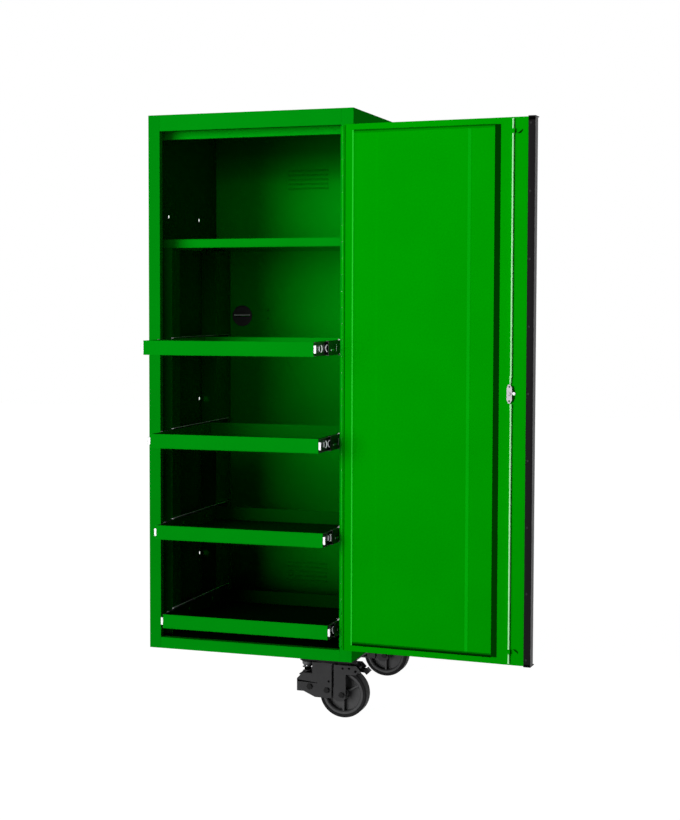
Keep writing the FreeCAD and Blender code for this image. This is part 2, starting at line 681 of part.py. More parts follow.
def hinge_door_leaf():
    """Leaf folded round the door's hinge edge into the rebate."""
    flat_u = HINGE_BARREL_D / 2.0 + FRAME_LEAF_CLEARANCE
    edge_u = DOOR_HINGE_EDGE_U
    flat_v = HINGE_Y - HINGE_BARREL_D / 2.0
    rebate_v = REBATE_DEPTH + HINGE_LEAF_T
    z0 = DOOR_Z0 + HINGE_END_MARGIN
    z1 = DOOR_Z1 - HINGE_END_MARGIN
    sheets = [dbox(flat_u, edge_u, flat_v, flat_v + HINGE_LEAF_T, z0, z1),
              dbox(edge_u - HINGE_LEAF_T, edge_u, flat_v, rebate_v, z0, z1),
              dbox(edge_u - HINGE_LEAF_T, REBATE_END_U, REBATE_DEPTH, rebate_v, z0, z1)]
    bore = HINGE_PIN_D + HINGE_BORE_CLEARANCE
    return hinge_leaf(knuckle_spans()[1::2], flat_v, sheets, bore)


def hinge_pin():
    """Long pin through all the knuckles."""
    z0 = DOOR_Z0 + HINGE_END_MARGIN
    length = DOOR_Z1 - DOOR_Z0 - 2.0 * HINGE_END_MARGIN
    return rod(V(HINGE_X, HINGE_Y, z0), Z_AXIS, HINGE_PIN_D / 2.0, length)


def pull_handle():
    """Full-height pull wrapped round the free edge, with a finger grip outside."""
    end_u = DOOR_END_U
    inner_u = end_u - PULL_INNER_W
    outer_u = end_u - PULL_OUTER_W
    pieces = [
        dbox(inner_u, end_u, DOOR_T, DOOR_T + PULL_T, DOOR_Z0, DOOR_Z1),
        dbox(end_u - PULL_T, end_u, -PULL_T, DOOR_T + PULL_T, DOOR_Z0, DOOR_Z1),
        dbox(outer_u, end_u, -PULL_T, 0.0, DOOR_Z0, DOOR_Z1),
        dbox(outer_u, outer_u + PULL_T, -PULL_GRIP, 0.0, DOOR_Z0, DOOR_Z1),
        dbox(outer_u, outer_u + PULL_GRIP_LIP, -PULL_GRIP, -PULL_GRIP + PULL_T, DOOR_Z0, DOOR_Z1),
    ]
    return fuse(pieces)


def pull_end_cap(z0):
    """Moulded cap over one end of the pull."""
    end_u = DOOR_END_U
    outer_u = end_u - PULL_OUTER_W
    plate = dbox(end_u - PULL_INNER_W, end_u, -PULL_T, DOOR_T + PULL_T, z0, z0 + PULL_CAP_T)
    grip = dbox(outer_u, end_u, -PULL_GRIP, 0.0, z0, z0 + PULL_CAP_T)
    return fuse([plate, grip])


def pull_screws():
    """Screws through the pull's inner flange, evenly spaced."""
    screws = []
    span = DOOR_Z1 - DOOR_Z0 - 2.0 * PULL_SCREW_END
    u = DOOR_END_U - PULL_SCREW_INSET
    for i in range(PULL_SCREWS):
        z = DOOR_Z0 + PULL_SCREW_END + i * span / (PULL_SCREWS - 1)
        top = DOOR_T + PULL_T
        head = rod(dpoint(u, top, z), Y_AXIS, PULL_SCREW_HEAD_D / 2.0, PULL_SCREW_HEAD_H)
        shank = rod(dpoint(u, DOOR_FLANGE_V - SHEET, z), Y_AXIS, PULL_SCREW_SHANK_D / 2.0,
                    top - DOOR_FLANGE_V + 2.0 * SHEET)
        screws.append(fuse([head, shank]))
    return screws


def lock_cylinder():
    """Key cylinder through the door, with a face ring outside."""
    face = rod(dpoint(LOCK_U, -LOCK_FACE_H, LOCK_Z), Y_AXIS, LOCK_FACE_D / 2.0, LOCK_FACE_H)
    barrel_start = dpoint(LOCK_U, -LOCK_FACE_H, LOCK_Z)
    barrel = rod(barrel_start, Y_AXIS, LOCK_BARREL_D / 2.0, DOOR_FLANGE_V + LOCK_FACE_H)
    keyway = dbox(LOCK_U - LOCK_KEYWAY / 2.0, LOCK_U + LOCK_KEYWAY / 2.0,
                  -2.0 * LOCK_FACE_H, LOCK_FACE_H,
                  LOCK_Z - LOCK_FACE_D / 4.0, LOCK_Z + LOCK_FACE_D / 4.0)
    return fuse([face, barrel]).cut(keyway)


def lock_cam():
    """Cam plate on its spindle, with the two rivets that drive the rods."""
    v0 = DOOR_T + CAM_LIFT
    half_l = CAM_L / 2.0
    half_w = CAM_W / 2.0
    plate = dbox(LOCK_U - half_w, LOCK_U + half_w, v0, v0 + CAM_T, LOCK_Z - half_l, LOCK_Z + half_l)
    spindle_l = v0 + 2.0 * CAM_T - DOOR_FLANGE_V
    spindle = rod(dpoint(LOCK_U, DOOR_FLANGE_V, LOCK_Z), Y_AXIS, LOCK_SPINDLE_D / 2.0, spindle_l)
    pieces = [plate, spindle]
    for side in (-1.0, 1.0):
        z = LOCK_Z + side * (half_l - CAM_RIVET_INSET)
        pieces.append(rod(dpoint(LOCK_U, v0, z), Y_AXIS, CAM_RIVET_D / 2.0, CAM_T + CAM_RIVET_H))
    return fuse(pieces)


def rod_v():
    """Depth of the lock rods' axis on the door."""
    return DOOR_T + ROD_COUPLER_D / 2.0 + ROD_LIFT


def upper_lock_rod():
    """Rod from the cam up to the header, with a small jog beside the cam."""
    z0 = LOCK_Z + CAM_L / 2.0 + ROD_CAM_GAP
    z_jog = z0 + ROD_JOG_L
    z1 = DOOR_Z1 - ROD_END_INSET
    radius = ROD_D / 2.0
    low = rod(dpoint(ROD_U - ROD_JOG, rod_v(), z0), Z_AXIS, radius, ROD_JOG_L)
    high = rod(dpoint(ROD_U, rod_v(), z_jog - ROD_D), Z_AXIS, radius, z1 - z_jog + ROD_D)
    return fuse([low, high])


def lower_lock_rod():
    """Rod from the cam down to the sill, with a coupler at its upper end."""
    z0 = DOOR_Z0 + ROD_END_INSET
    z1 = LOCK_Z - CAM_L / 2.0 - ROD_CAM_GAP
    main = rod(dpoint(ROD_U, rod_v(), z0), Z_AXIS, ROD_D / 2.0, z1 - z0)
    coupler = rod(dpoint(ROD_U, rod_v(), z1 - ROD_COUPLER_L), Z_AXIS, ROD_COUPLER_D / 2.0, ROD_COUPLER_L)
    return fuse([main, coupler])


def make_door():
    """Write the hinge, the door and its lock."""
    write("hinge_frame_leaf", hinge_frame_leaf())
    write("hinge_pin", hinge_pin())
    lock_bore = rod(dpoint(LOCK_U, -DOOR_T, LOCK_Z), Y_AXIS, LOCK_BARREL_D / 2.0, 2.0 * DOOR_T)
    screws = pull_screws()
    screw_group = group(screws)
    write("hinge_door_leaf", swing(hinge_door_leaf()))
    write("door_skin", swing(door_skin().cut(lock_bore)))
    write("door_liner", swing(door_liner()))
    write("door_stiffener", swing(door_stiffener()))
    write("door_lock_channel", swing(door_lock_channel().cut(screw_group)))
    write("pull_handle", swing(pull_handle().cut(screw_group)))
    write("pull_end_caps", swing(group([pull_end_cap(DOOR_Z0 - PULL_CAP_T), pull_end_cap(DOOR_Z1)])))
    write("pull_screws", swing(screw_group))
    write("lock_cylinder", swing(lock_cylinder()))
    write("lock_cam", swing(lock_cam()))
    write("upper_lock_rod", swing(upper_lock_rod()))
    write("lower_lock_rod", swing(lower_lock_rod()))


# ------------------------------------------------------------- casters
# Each caster is drawn about its swivel axis, with y = 0 in the wheel's mid-plane.
def pair_plates(outline, inner_y, thickness):
    """Two plates with one outline (x, z), mirrored across the wheel."""
    plates = []
    for y in (inner_y, -inner_y - thickness):
        plates.append(prism([(x, y, z) for x, z in outline], Y_AXIS, thickness))
    return plates


def capsule(x0, z0, x1, z1, radius, y0, y1):
    """Bar with round ends between two points of the x-z plane."""
    angle = math.degrees(math.atan2(z1 - z0, x1 - x0))
    length = math.hypot(x1 - x0, z1 - z0)
    bar = box(0.0, length, y0, y1, -radius, radius)
    bar.rotate(V(0, 0, 0), Y_AXIS, -angle)
    bar.translate(V(x0, 0, z0))
    ends = [rod(V(x, y0, z), Y_AXIS, radius, y1 - y0) for x, z in ((x0, z0), (x1, z1))]
    return fuse([bar] + ends)


def wheel_centre_z():
    """Height of the wheel's axle."""
    return -OVERALL_DROP + WHEEL_D / 2.0


def caster_mount():
    """Inverted channel under the cabinet, with the raceway on it."""
    half_d = MOUNT_D / 2.0
    outside = box(-MOUNT_LEFT, MOUNT_RIGHT, -half_d, half_d, -MOUNT_DEPTH, 0.0)
    inside = box(-2.0 * MOUNT_LEFT, 2.0 * MOUNT_RIGHT, -half_d + MOUNT_T, half_d - MOUNT_T,
                 -2.0 * MOUNT_DEPTH, -MOUNT_T)
    race_r = CROWN_TOP_D / 2.0 + RACEWAY_OVERHANG
    raceway = rod(V(0, 0, -MOUNT_T - RACEWAY_T), Z_AXIS, race_r, RACEWAY_T)
    return fuse([outside.cut(inside), raceway])


def mount_bolt_points():
    """Places of the four mounting bolts about the swivel axis."""
    points = []
    reach = MOUNT_D / 2.0 - MOUNT_BOLT_INSET
    for x in (-MOUNT_LEFT + MOUNT_BOLT_LEFT_INSET, MOUNT_RIGHT - MOUNT_BOLT_INSET):
        for y in (-reach, reach):
            points.append((x, y))
    return points


def mount_bolts():
    """Mounting bolts with their heads under the channel's web."""
    bolts = []
    for x, y in mount_bolt_points():
        head = hexagon(V(x, y, -MOUNT_T - MOUNT_BOLT_HEAD_H), Z_AXIS, MOUNT_BOLT_HEAD_D, MOUNT_BOLT_HEAD_H)
        shank = rod(V(x, y, -MOUNT_T), Z_AXIS, MOUNT_BOLT_D / 2.0, MOUNT_T + MOUNT_BOLT_GRIP)
        bolts.append(fuse([head, shank]))
    return bolts


def cheek_outline():
    """Outline of the yoke's cheeks, from the crown down to the tail and back."""
    return [(CHEEK_NECK_X, CROWN_Z),
            (CHEEK_NECK_X, CHEEK_TOP_Z),
            (CHEEK_LEFT + CHEEK_CORNER, CHEEK_TOP_Z),
            (CHEEK_LEFT, CHEEK_TOP_Z - CHEEK_CORNER),
            (CHEEK_LEFT, CHEEK_TAIL_Z),
            (CHEEK_TAIL_X, CHEEK_TAIL_Z),
            (CHEEK_BELLY_X, CHEEK_BOTTOM_Z),
            (CHEEK_RIGHT, CHEEK_BOTTOM_Z),
            (CHEEK_RIGHT, CROWN_Z)]


def yoke():
    """Swivelling fork: crown, kingpin, two cheeks and the spring's shelf."""
    crown_h = -MOUNT_T - RACEWAY_T - CROWN_GAP - CROWN_Z
    crown = Part.makeCone(CROWN_D / 2.0, CROWN_TOP_D / 2.0, crown_h, V(0, 0, CROWN_Z), Z_AXIS)
    kingpin = rod(V(0, 0, CROWN_Z - 2.0 * CHEEK_T), Z_AXIS, KINGPIN_D / 2.0, crown_h + CHEEK_T)
    web = box(CHEEK_NECK_X, CHEEK_RIGHT, -CHEEK_INNER, CHEEK_INNER, CROWN_Z - CHEEK_T, CROWN_Z)
    shelf_x = CHEEK_LEFT + SHELF_INSET
    shelf = box(shelf_x, CHEEK_NECK_X, -CHEEK_INNER, CHEEK_INNER, SHELF_Z - CHEEK_T, SHELF_Z)
    hole = rod(V(SPRING_X, 0, SHELF_Z - 2.0 * CHEEK_T), Z_AXIS, DRAW_HOLE_D / 2.0, 4.0 * CHEEK_T)
    slot_r = PIN_D / 2.0 + TAIL_SLOT_CLEARANCE
    cheeks = pair_plates(cheek_outline(), CHEEK_INNER, CHEEK_T)
    solid = fuse([crown, kingpin, web, shelf] + cheeks)
    reach = 2.0 * CHEEK_INNER
    slot = capsule(TAIL_X, TAIL_Z, TAIL_X, TAIL_Z - TAIL_SLOT_DROP, slot_r, -reach, reach)
    pivot = rod(V(PIVOT_X, -reach, PIVOT_Z), Y_AXIS, PIN_D / 2.0 + AXLE_CLEARANCE, 2.0 * reach)
    return solid.cut(group([hole, slot, pivot]))


def leg_outline():
    """Outline of the rocker's outer legs and the ears that carry the brake."""
    low_z = wheel_centre_z() - LEG_DROP
    right = LEG_LEFT + LEG_W
    return [(LEG_LEFT, LEG_TOP_Z),
            (LEG_LEFT, low_z + LEG_CORNER),
            (LEG_LEFT + LEG_CORNER, low_z),
            (right - LEG_CORNER, low_z),
            (right, low_z + LEG_CORNER),
            (right, EAR_LOW_Z),
            (EAR_END_X - EAR_CORNER, EAR_LOW_Z),
            (EAR_END_X, EAR_LOW_Z + EAR_CORNER),
            (EAR_END_X, LEG_TOP_Z - EAR_CORNER),
            (EAR_END_X - EAR_CORNER, LEG_TOP_Z)]


def rocker():
    """Rocking arm: inner bars from tail to axle, outer legs and the tail crossbar."""
    axle_z = wheel_centre_z()
    bar_y0 = CHEEK_INNER - BAR_GAP - BAR_T
    leg_y0 = CHEEK_INNER + CHEEK_T + BAR_GAP
    pieces = []
    for side in (-1.0, 1.0):
        y0 = bar_y0 if side > 0 else -bar_y0 - BAR_T
        pieces.append(capsule(SPRING_X, TAIL_Z, PIVOT_X, PIVOT_Z, BAR_R, y0, y0 + BAR_T))
        pieces.append(capsule(PIVOT_X, PIVOT_Z, WHEEL_TRAIL, axle_z, BAR_R, y0, y0 + BAR_T))
        spacer_y0 = bar_y0 + BAR_T if side > 0 else -leg_y0
        spacer_l = leg_y0 - bar_y0 - BAR_T
        pieces.append(rod(V(WHEEL_TRAIL, spacer_y0, axle_z), Y_AXIS, BAR_R - BAR_SPACER_INSET, spacer_l))
    pieces += pair_plates(leg_outline(), leg_y0, BAR_T)
    pieces.append(rod(V(SPRING_X, -bar_y0, TAIL_Z), Y_AXIS, CROSSBAR_D / 2.0, 2.0 * bar_y0))
    solid = fuse(pieces)
    draw_hole = rod(V(SPRING_X, 0, TAIL_Z - CROSSBAR_D), Z_AXIS, DRAW_HOLE_D / 2.0, 2.0 * CROSSBAR_D)
    reach = 2.0 * CHEEK_INNER
    holes = [draw_hole]
    for x, z, diameter in ((PIVOT_X, PIVOT_Z, PIN_D), (TAIL_X, TAIL_Z, PIN_D),
                           (WHEEL_TRAIL, axle_z, AXLE_D), (BRAKE_X, BRAKE_Z, BRAKE_PIN_D)):
        holes.append(rod(V(x, -reach, z), Y_AXIS, diameter / 2.0, 2.0 * reach))
    return solid.cut(group(holes))


def stub_pins(x, z, diameter, inner_y, head_y):
    """One short headed pin on each side of the wheel."""
    pins = []
    for side in (-1.0, 1.0):
        length = head_y - inner_y + PIN_HEAD_H / 2.0
        shank = rod(V(x, side * inner_y, z), Y_AXIS * side, diameter / 2.0, length)
        head_start = head_y if side > 0 else -head_y - PIN_HEAD_H
        head = hexagon(V(x, head_start, z), Y_AXIS, PIN_HEAD_D, PIN_HEAD_H)
        pins.append(fuse([shank, head]))
    return pins


def through_pin(x, z, diameter, half_length, head_y):
    """Bolt across the caster with a hexagon head and nut."""
    shank = rod(V(x, -half_length, z), Y_AXIS, diameter / 2.0, 2.0 * half_length)
    head = hexagon(V(x, -head_y - PIN_HEAD_H, z), Y_AXIS, PIN_HEAD_D, PIN_HEAD_H)
    nut = hexagon(V(x, head_y, z), Y_AXIS, PIN_HEAD_D, PIN_HEAD_H)
    return fuse([shank, head, nut])


def caster_pins():
    """Tail bolt, pivot bolt, axle and brake pin, which move with the rocker."""
    leg_y1 = CHEEK_INNER + CHEEK_T + BAR_GAP + BAR_T
    cheek_y1 = CHEEK_INNER + CHEEK_T + BAR_GAP
    axle_z = wheel_centre_z()
    brake_pin = rod(V(BRAKE_X, -leg_y1, BRAKE_Z), Y_AXIS, BRAKE_PIN_D / 2.0, 2.0 * leg_y1)
    bar_y0 = CHEEK_INNER - BAR_GAP - BAR_T
    pivots = stub_pins(PIVOT_X, PIVOT_Z, PIN_D, bar_y0, cheek_y1)
    return pivots + [through_pin(TAIL_X, TAIL_Z, PIN_D, leg_y1, cheek_y1),
                     through_pin(WHEEL_TRAIL, axle_z, AXLE_D, leg_y1, leg_y1),
                     brake_pin]


def spring():
    """Coil spring that stands on the yoke's shelf, round the draw bolt."""
    wire_r = SPRING_WIRE / 2.0
    coil_r = SPRING_OD / 2.0 - wire_r
    low = SHELF_Z + wire_r + SPRING_SEAT_GAP
    height = SPRING_TOP_Z - SHELF_Z - SPRING_WIRE - 2.0 * SPRING_SEAT_GAP
    helix = Part.makeHelix(height / SPRING_TURNS, height, coil_r)
    profile = Part.Wire(Part.makeCircle(wire_r, V(coil_r, 0, 0), Y_AXIS))
    solid = Part.Wire(helix).makePipeShell([profile], True, True)
    solid.translate(V(SPRING_X, 0, low))
    return solid


def draw_bolt():
    """Bolt that squeezes the spring when the rocker's tail goes down."""
    low_nut_z = TAIL_Z - CROSSBAR_D / 2.0 - DRAW_NUT_GAP - DRAW_NUT_H
    washer_z = SPRING_TOP_Z
    top_nut_z = washer_z + DRAW_WASHER_T
    shank = rod(V(SPRING_X, 0, low_nut_z), Z_AXIS, DRAW_D / 2.0, top_nut_z + DRAW_NUT_H - low_nut_z)
    washer = rod(V(SPRING_X, 0, washer_z), Z_AXIS, SPRING_OD / 2.0, DRAW_WASHER_T)
    top_nut = hexagon(V(SPRING_X, 0, top_nut_z), Z_AXIS, DRAW_NUT_D, DRAW_NUT_H)
    low_nut = hexagon(V(SPRING_X, 0, low_nut_z), Z_AXIS, DRAW_NUT_D, DRAW_NUT_H)
    return fuse([shank, washer, top_nut, low_nut])


def wheel():
    """Hub, dished web, rim ring and ribs."""
    tyre_in = WHEEL_D / 2.0 - TYRE_T
    rim_in = tyre_in - RIM_T
    hub_r = HUB_D / 2.0
    bore_r = AXLE_D / 2.0 + AXLE_CLEARANCE
    half_w = WHEEL_W / 2.0
    rim_half = half_w - RIM_INSET
    web_half = WEB_T / 2.0
    half_profile = [(rim_in, web_half),
                    (rim_in, rim_half - RIM_CHAMFER),
                    (rim_in + RIM_CHAMFER, rim_half),
                    (tyre_in, rim_half)]
    hub_profile = [(hub_r, web_half),
                   (hub_r, half_w - HUB_CHAMFER),
                   (hub_r - HUB_CHAMFER, half_w),
                   (bore_r, half_w)]
    upper = list(reversed(half_profile)) + hub_profile
    lower = [(r, -y) for r, y in reversed(upper)]
    profile = upper + lower
    centre = V(WHEEL_TRAIL, 0, wheel_centre_z())
    body = turned(profile, centre)
    rib_half = rim_half - RIB_INSET
    ribs = []
    for i in range(WHEEL_RIBS):
        rib = box(hub_r - RIB_ROOT, rim_in + RIB_ROOT, -rib_half, rib_half, -RIB_T / 2.0, RIB_T / 2.0)
        rib.rotate(V(0, 0, 0), Y_AXIS, 90.0 + i * 360.0 / WHEEL_RIBS)
        rib.translate(centre)
        ribs.append(rib)
    return fuse([body] + ribs)


def tyre():
    """Rubber tread with rounded shoulders."""
    outer = WHEEL_D / 2.0
    inner = outer - TYRE_T
    half_w = WHEEL_W / 2.0
    side = [(inner, half_w - RIM_INSET),
            (outer - TYRE_SHOULDER_H, half_w),
            (outer - TYRE_SHOULDER_H / 3.0, half_w - TYRE_SHOULDER_W / 3.0),
            (outer, half_w - TYRE_SHOULDER_W)]
    profile = side + [(r, -y) for r, y in reversed(side)]
    return turned(profile, V(WHEEL_TRAIL, 0, wheel_centre_z()))


def brake_lever():
    """Foot bar on two arms, with a hub and a shoe that meets the tread."""
    hub_half = BRAKE_ARM_INNER + BRAKE_ARM_T
    hub = rod(V(BRAKE_X, -hub_half, BRAKE_Z), Y_AXIS, BRAKE_HUB_D / 2.0, 2.0 * hub_half)
    arms = []
    for y0 in (BRAKE_ARM_INNER, -hub_half):
        arms.append(capsule(BRAKE_X, BRAKE_Z, BRAKE_BAR_X, BRAKE_BAR_Z, BRAKE_ARM_R, y0, y0 + BRAKE_ARM_T))
    half_bar = BRAKE_BAR / 2.0
    bar = box(-half_bar, half_bar, -BRAKE_BAR_L / 2.0, BRAKE_BAR_L / 2.0, -half_bar, half_bar)
    bar.rotate(V(0, 0, 0), Y_AXIS, BRAKE_BAR_TURN)
    bar.translate(V(BRAKE_BAR_X, 0, BRAKE_BAR_Z))
    half_t = BRAKE_SHOE_T / 2.0
    shoe = box(-half_t, half_t, -BRAKE_SHOE_W / 2.0, BRAKE_SHOE_W / 2.0, -BRAKE_SHOE_REACH, 0.0)
    to_axle = math.degrees(math.atan2(BRAKE_X - WHEEL_TRAIL, BRAKE_Z - wheel_centre_z()))
    shoe.rotate(V(0, 0, 0), Y_AXIS, to_axle - BRAKE_SHOE_BACK_ANGLE)
    shoe.translate(V(BRAKE_X, 0, BRAKE_Z))
    pin = rod(V(BRAKE_X, -2.0 * hub_half, BRAKE_Z), Y_AXIS, BRAKE_PIN_D / 2.0 + AXLE_CLEARANCE, 4.0 * hub_half)
    return fuse([hub, bar, shoe] + arms).cut(pin)


def floor_channel():
    """Channel inside the base that takes the caster's bolts."""
    y1 = MOUNT_D / 2.0
    z1 = SILL_H - SHEET
    base = box(-INSIDE_HALF_W, INSIDE_HALF_W, -y1, y1, 0.0, FLOOR_CHANNEL_T)
    front = box(-INSIDE_HALF_W, INSIDE_HALF_W, -y1, -y1 + FLOOR_CHANNEL_T, 0.0, z1)
    back = box(-INSIDE_HALF_W, INSIDE_HALF_W, y1 - FLOOR_CHANNEL_T, y1, 0.0, z1)
    return fuse([base, front, back])


def make_casters():
    """Write both casters and what fastens them to the cabinet."""
    mounts = []
    bolts = []
    channels = []
    places = zip(CASTER_NAMES, CASTER_X, (CASTER_EDGE_Y, BODY_D - CASTER_EDGE_Y))
    for name, x, y in places:
        shift = V(x, y, 0)
        own_bolts = [b.translated(shift) for b in mount_bolts()]
        bolts += own_bolts
        mounts.append(caster_mount().translated(shift).cut(group(own_bolts)))
        channels.append(floor_channel().translated(V(0, y, 0)).cut(group(own_bolts)))
        moving = {
            "yoke": yoke(),
            "rocker": rocker(),
            "pins": group(caster_pins()),
            "spring": spring(),
            "draw_bolt": draw_bolt(),
            "wheel": wheel(),
            "tyre": tyre(),
            "brake_lever": brake_lever(),
        }
        for part_name, shape in moving.items():
            write(name + "_caster_" + part_name, shape.translated(shift))
    write("caster_mounts", group(mounts))
    write("caster_bolts", group(bolts))
    write("floor_channels", group(channels))


make_cabinet()
make_trays()
make_door()
make_casters()
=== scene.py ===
import json
import math

import bmesh
import bpy
from mathutils import Matrix, Vector


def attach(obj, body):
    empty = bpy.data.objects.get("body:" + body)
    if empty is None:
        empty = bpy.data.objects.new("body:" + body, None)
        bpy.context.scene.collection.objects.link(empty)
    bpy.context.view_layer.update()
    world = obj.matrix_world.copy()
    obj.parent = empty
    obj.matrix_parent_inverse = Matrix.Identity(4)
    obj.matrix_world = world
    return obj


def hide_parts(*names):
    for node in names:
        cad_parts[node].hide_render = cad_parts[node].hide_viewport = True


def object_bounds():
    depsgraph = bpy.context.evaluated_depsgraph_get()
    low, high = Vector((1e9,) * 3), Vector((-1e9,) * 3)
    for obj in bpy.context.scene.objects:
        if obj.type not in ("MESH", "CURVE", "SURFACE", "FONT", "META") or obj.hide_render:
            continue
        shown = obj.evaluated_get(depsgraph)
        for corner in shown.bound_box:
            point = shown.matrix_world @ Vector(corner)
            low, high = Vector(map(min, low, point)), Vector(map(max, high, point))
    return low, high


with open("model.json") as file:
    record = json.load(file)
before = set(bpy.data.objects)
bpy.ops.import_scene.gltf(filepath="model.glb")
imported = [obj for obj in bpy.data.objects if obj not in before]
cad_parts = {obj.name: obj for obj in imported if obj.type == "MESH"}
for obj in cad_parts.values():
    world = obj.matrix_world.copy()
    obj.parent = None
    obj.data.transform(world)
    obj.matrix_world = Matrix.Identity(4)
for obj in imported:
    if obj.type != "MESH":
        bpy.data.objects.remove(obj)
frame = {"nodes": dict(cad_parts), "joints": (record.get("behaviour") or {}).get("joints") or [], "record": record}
cad_low, cad_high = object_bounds()
scene = bpy.context.scene
slot_of = {part["node"]: part["material_slot"] for part in frame["record"]["subparts"]}
joint_of = {joint["name"]: joint for joint in frame["joints"]}

# ------------------------------------------------------------------ places
# Lengths are written in millimetres from the cabinet's front bottom edge at
# mid-width (x right, y back, z up). at() turns them into the row frame's metres.
MM = 0.001
ROW_ORIGIN = Vector((-305.0, 269.5, 736.0))


def mm(x, y, z):
    """A direction or a thickness in millimetres."""
    return Vector((x, y, z)) * MM


def at(x, y, z):
    """Cabinet millimetres to the row frame."""
    return (Vector((x, y, z)) - ROW_ORIGIN) * MM


def home(joint):
    """A joint's place at rest, in cabinet millimetres."""
    place = joint_of[joint]["pos_m"]
    return [round(value / MM + start, 3) for value, start in zip(place, ROW_ORIGIN)]


HINGE_X, HINGE_Y, _ = home("door_hinge")
DOOR_OPEN = math.radians(176.8)
DOOR_T = 25.4
LOCK_U = 480.0
LOCK_Z = home("lock_turn")[2]


def on_door(u, v, z):
    """Door coordinates (u from the hinge axis, v from the outer face) at rest."""
    turned = Matrix.Rotation(DOOR_OPEN, 3, "Z") @ Vector((-u, v - HINGE_Y, 0.0))
    return at(HINGE_X + turned.x, HINGE_Y + turned.y, z)


def door_depth(thickness):
    """A thickness away from the door's outer face."""
    return on_door(0.0, thickness, 0.0) - on_door(0.0, 0.0, 0.0)


# Trays from the top one down: how far each is out, and the mid height of its slides.
TRAYS = (1, 2, 3, 4)
TRAY_OUT = [round(-joint_of["tray_%d_slide" % n]["range_m"][0] / MM, 3) for n in TRAYS]
SLIDE_MID_Z = [home("tray_%d_slide" % n)[2] for n in TRAYS]
BODY_H = 1533.0
LIP_SHUT_Y = 42.0
SLIDE_SHUT_Y = 48.0
SLIDE_L = 457.0
SHEET = 1.2


# ------------------------------------------------------------------ materials
NOISE_SPAN = (0.3, 0.7)    # most of a noise texture's values
FACING_LIMIT = 0.8         # cosine above which a face counts as turned that way
GRAIN_STRENGTH = 0.6


def linear(red, green, blue):
    """Linear colour from 8-bit display values."""
    def one(value):
        value /= 255.0
        return value / 12.92 if value <= 0.04045 else ((value + 0.055) / 1.055) ** 2.4
    return (one(red), one(green), one(blue), 1.0)


def grey(value):
    """Neutral colour of one linear value."""
    return (value, value, value, 1.0)


def mix_shade(colour, factor):
    """A colour scaled towards black or white."""
    return tuple(min(1.0, channel * factor) for channel in colour[:3]) + (1.0,)


def feed(tree, source, socket):
    """Link a socket to another node's output, or set its constant."""
    if isinstance(source, bpy.types.NodeSocket):
        tree.links.new(source, socket)
    else:
        socket.default_value = source


def maths(tree, operation, first, second):
    """Result of one arithmetic step."""
    step = tree.nodes.new("ShaderNodeMath")
    step.operation = operation
    feed(tree, first, step.inputs[0])
    feed(tree, second, step.inputs[1])
    return step.outputs["Value"]


def mixed(tree, factor, first, second, blend="MIX"):
    """Colour mixed from two others."""
    mix = tree.nodes.new("ShaderNodeMix")
    mix.data_type = "RGBA"
    mix.blend_type = blend
    feed(tree, factor, mix.inputs["Factor"])
    feed(tree, first, mix.inputs["A"])
    feed(tree, second, mix.inputs["B"])
    return mix.outputs["Result"]


def remap(tree, source, low, high, span=NOISE_SPAN):
    """Spread a span of values over low to high."""
    spread = tree.nodes.new("ShaderNodeMapRange")
    spread.inputs["From Min"].default_value = span[0]
    spread.inputs["From Max"].default_value = span[1]
    spread.inputs["To Min"].default_value = low
    spread.inputs["To Max"].default_value = high
    tree.links.new(source, spread.inputs["Value"])
    return spread.outputs["Result"]


def noise(tree, coordinates, scale, detail, stretch):
    """Noise on object coordinates, with an optional stretch."""
    texture = tree.nodes.new("ShaderNodeTexNoise")
    texture.inputs["Scale"].default_value = scale
    texture.inputs["Detail"].default_value = detail
    place = coordinates.outputs["Object"]
    if stretch is not None:
        mapping = tree.nodes.new("ShaderNodeMapping")
        mapping.inputs["Scale"].default_value = stretch
        tree.links.new(place, mapping.inputs["Vector"])
        place = mapping.outputs["Vector"]
    tree.links.new(place, texture.inputs["Vector"])
    return texture.outputs["Fac"]


def faded(tree, coordinates, tone, axis, start, end, stops):
    """Painted shade: a tone scaled along one axis by the stops of a ramp."""
    place = tree.nodes.new("ShaderNodeSeparateXYZ")
    tree.links.new(coordinates.outputs["Object"], place.inputs["Vector"])
    ramp = tree.nodes.new("ShaderNodeValToRGB")
    elements = ramp.color_ramp.elements
    while len(elements) < len(stops):
        elements.new(0.5)
    for element, (position, value) in zip(elements, stops):
        element.position = position
        element.color = grey(value)
    tree.links.new(remap(tree, place.outputs[axis], 0.0, 1.0, (start, end)), ramp.inputs["Fac"])
    return mixed(tree, 1.0, tone, ramp.outputs["Color"], "MULTIPLY")


def repainted(tree, coordinates, tone, direction, colour):
    """A tone with another colour on the faces turned one way, as painted light or painted shade."""
    side = tree.nodes.new("ShaderNodeVectorMath")
    side.operation = "DOT_PRODUCT"
    side.inputs[1].default_value = direction
    tree.links.new(coordinates.outputs["Normal"], side.inputs[0])
    turned = maths(tree, "GREATER_THAN", side.outputs["Value"], FACING_LIMIT)
    return mixed(tree, turned, tone, colour)


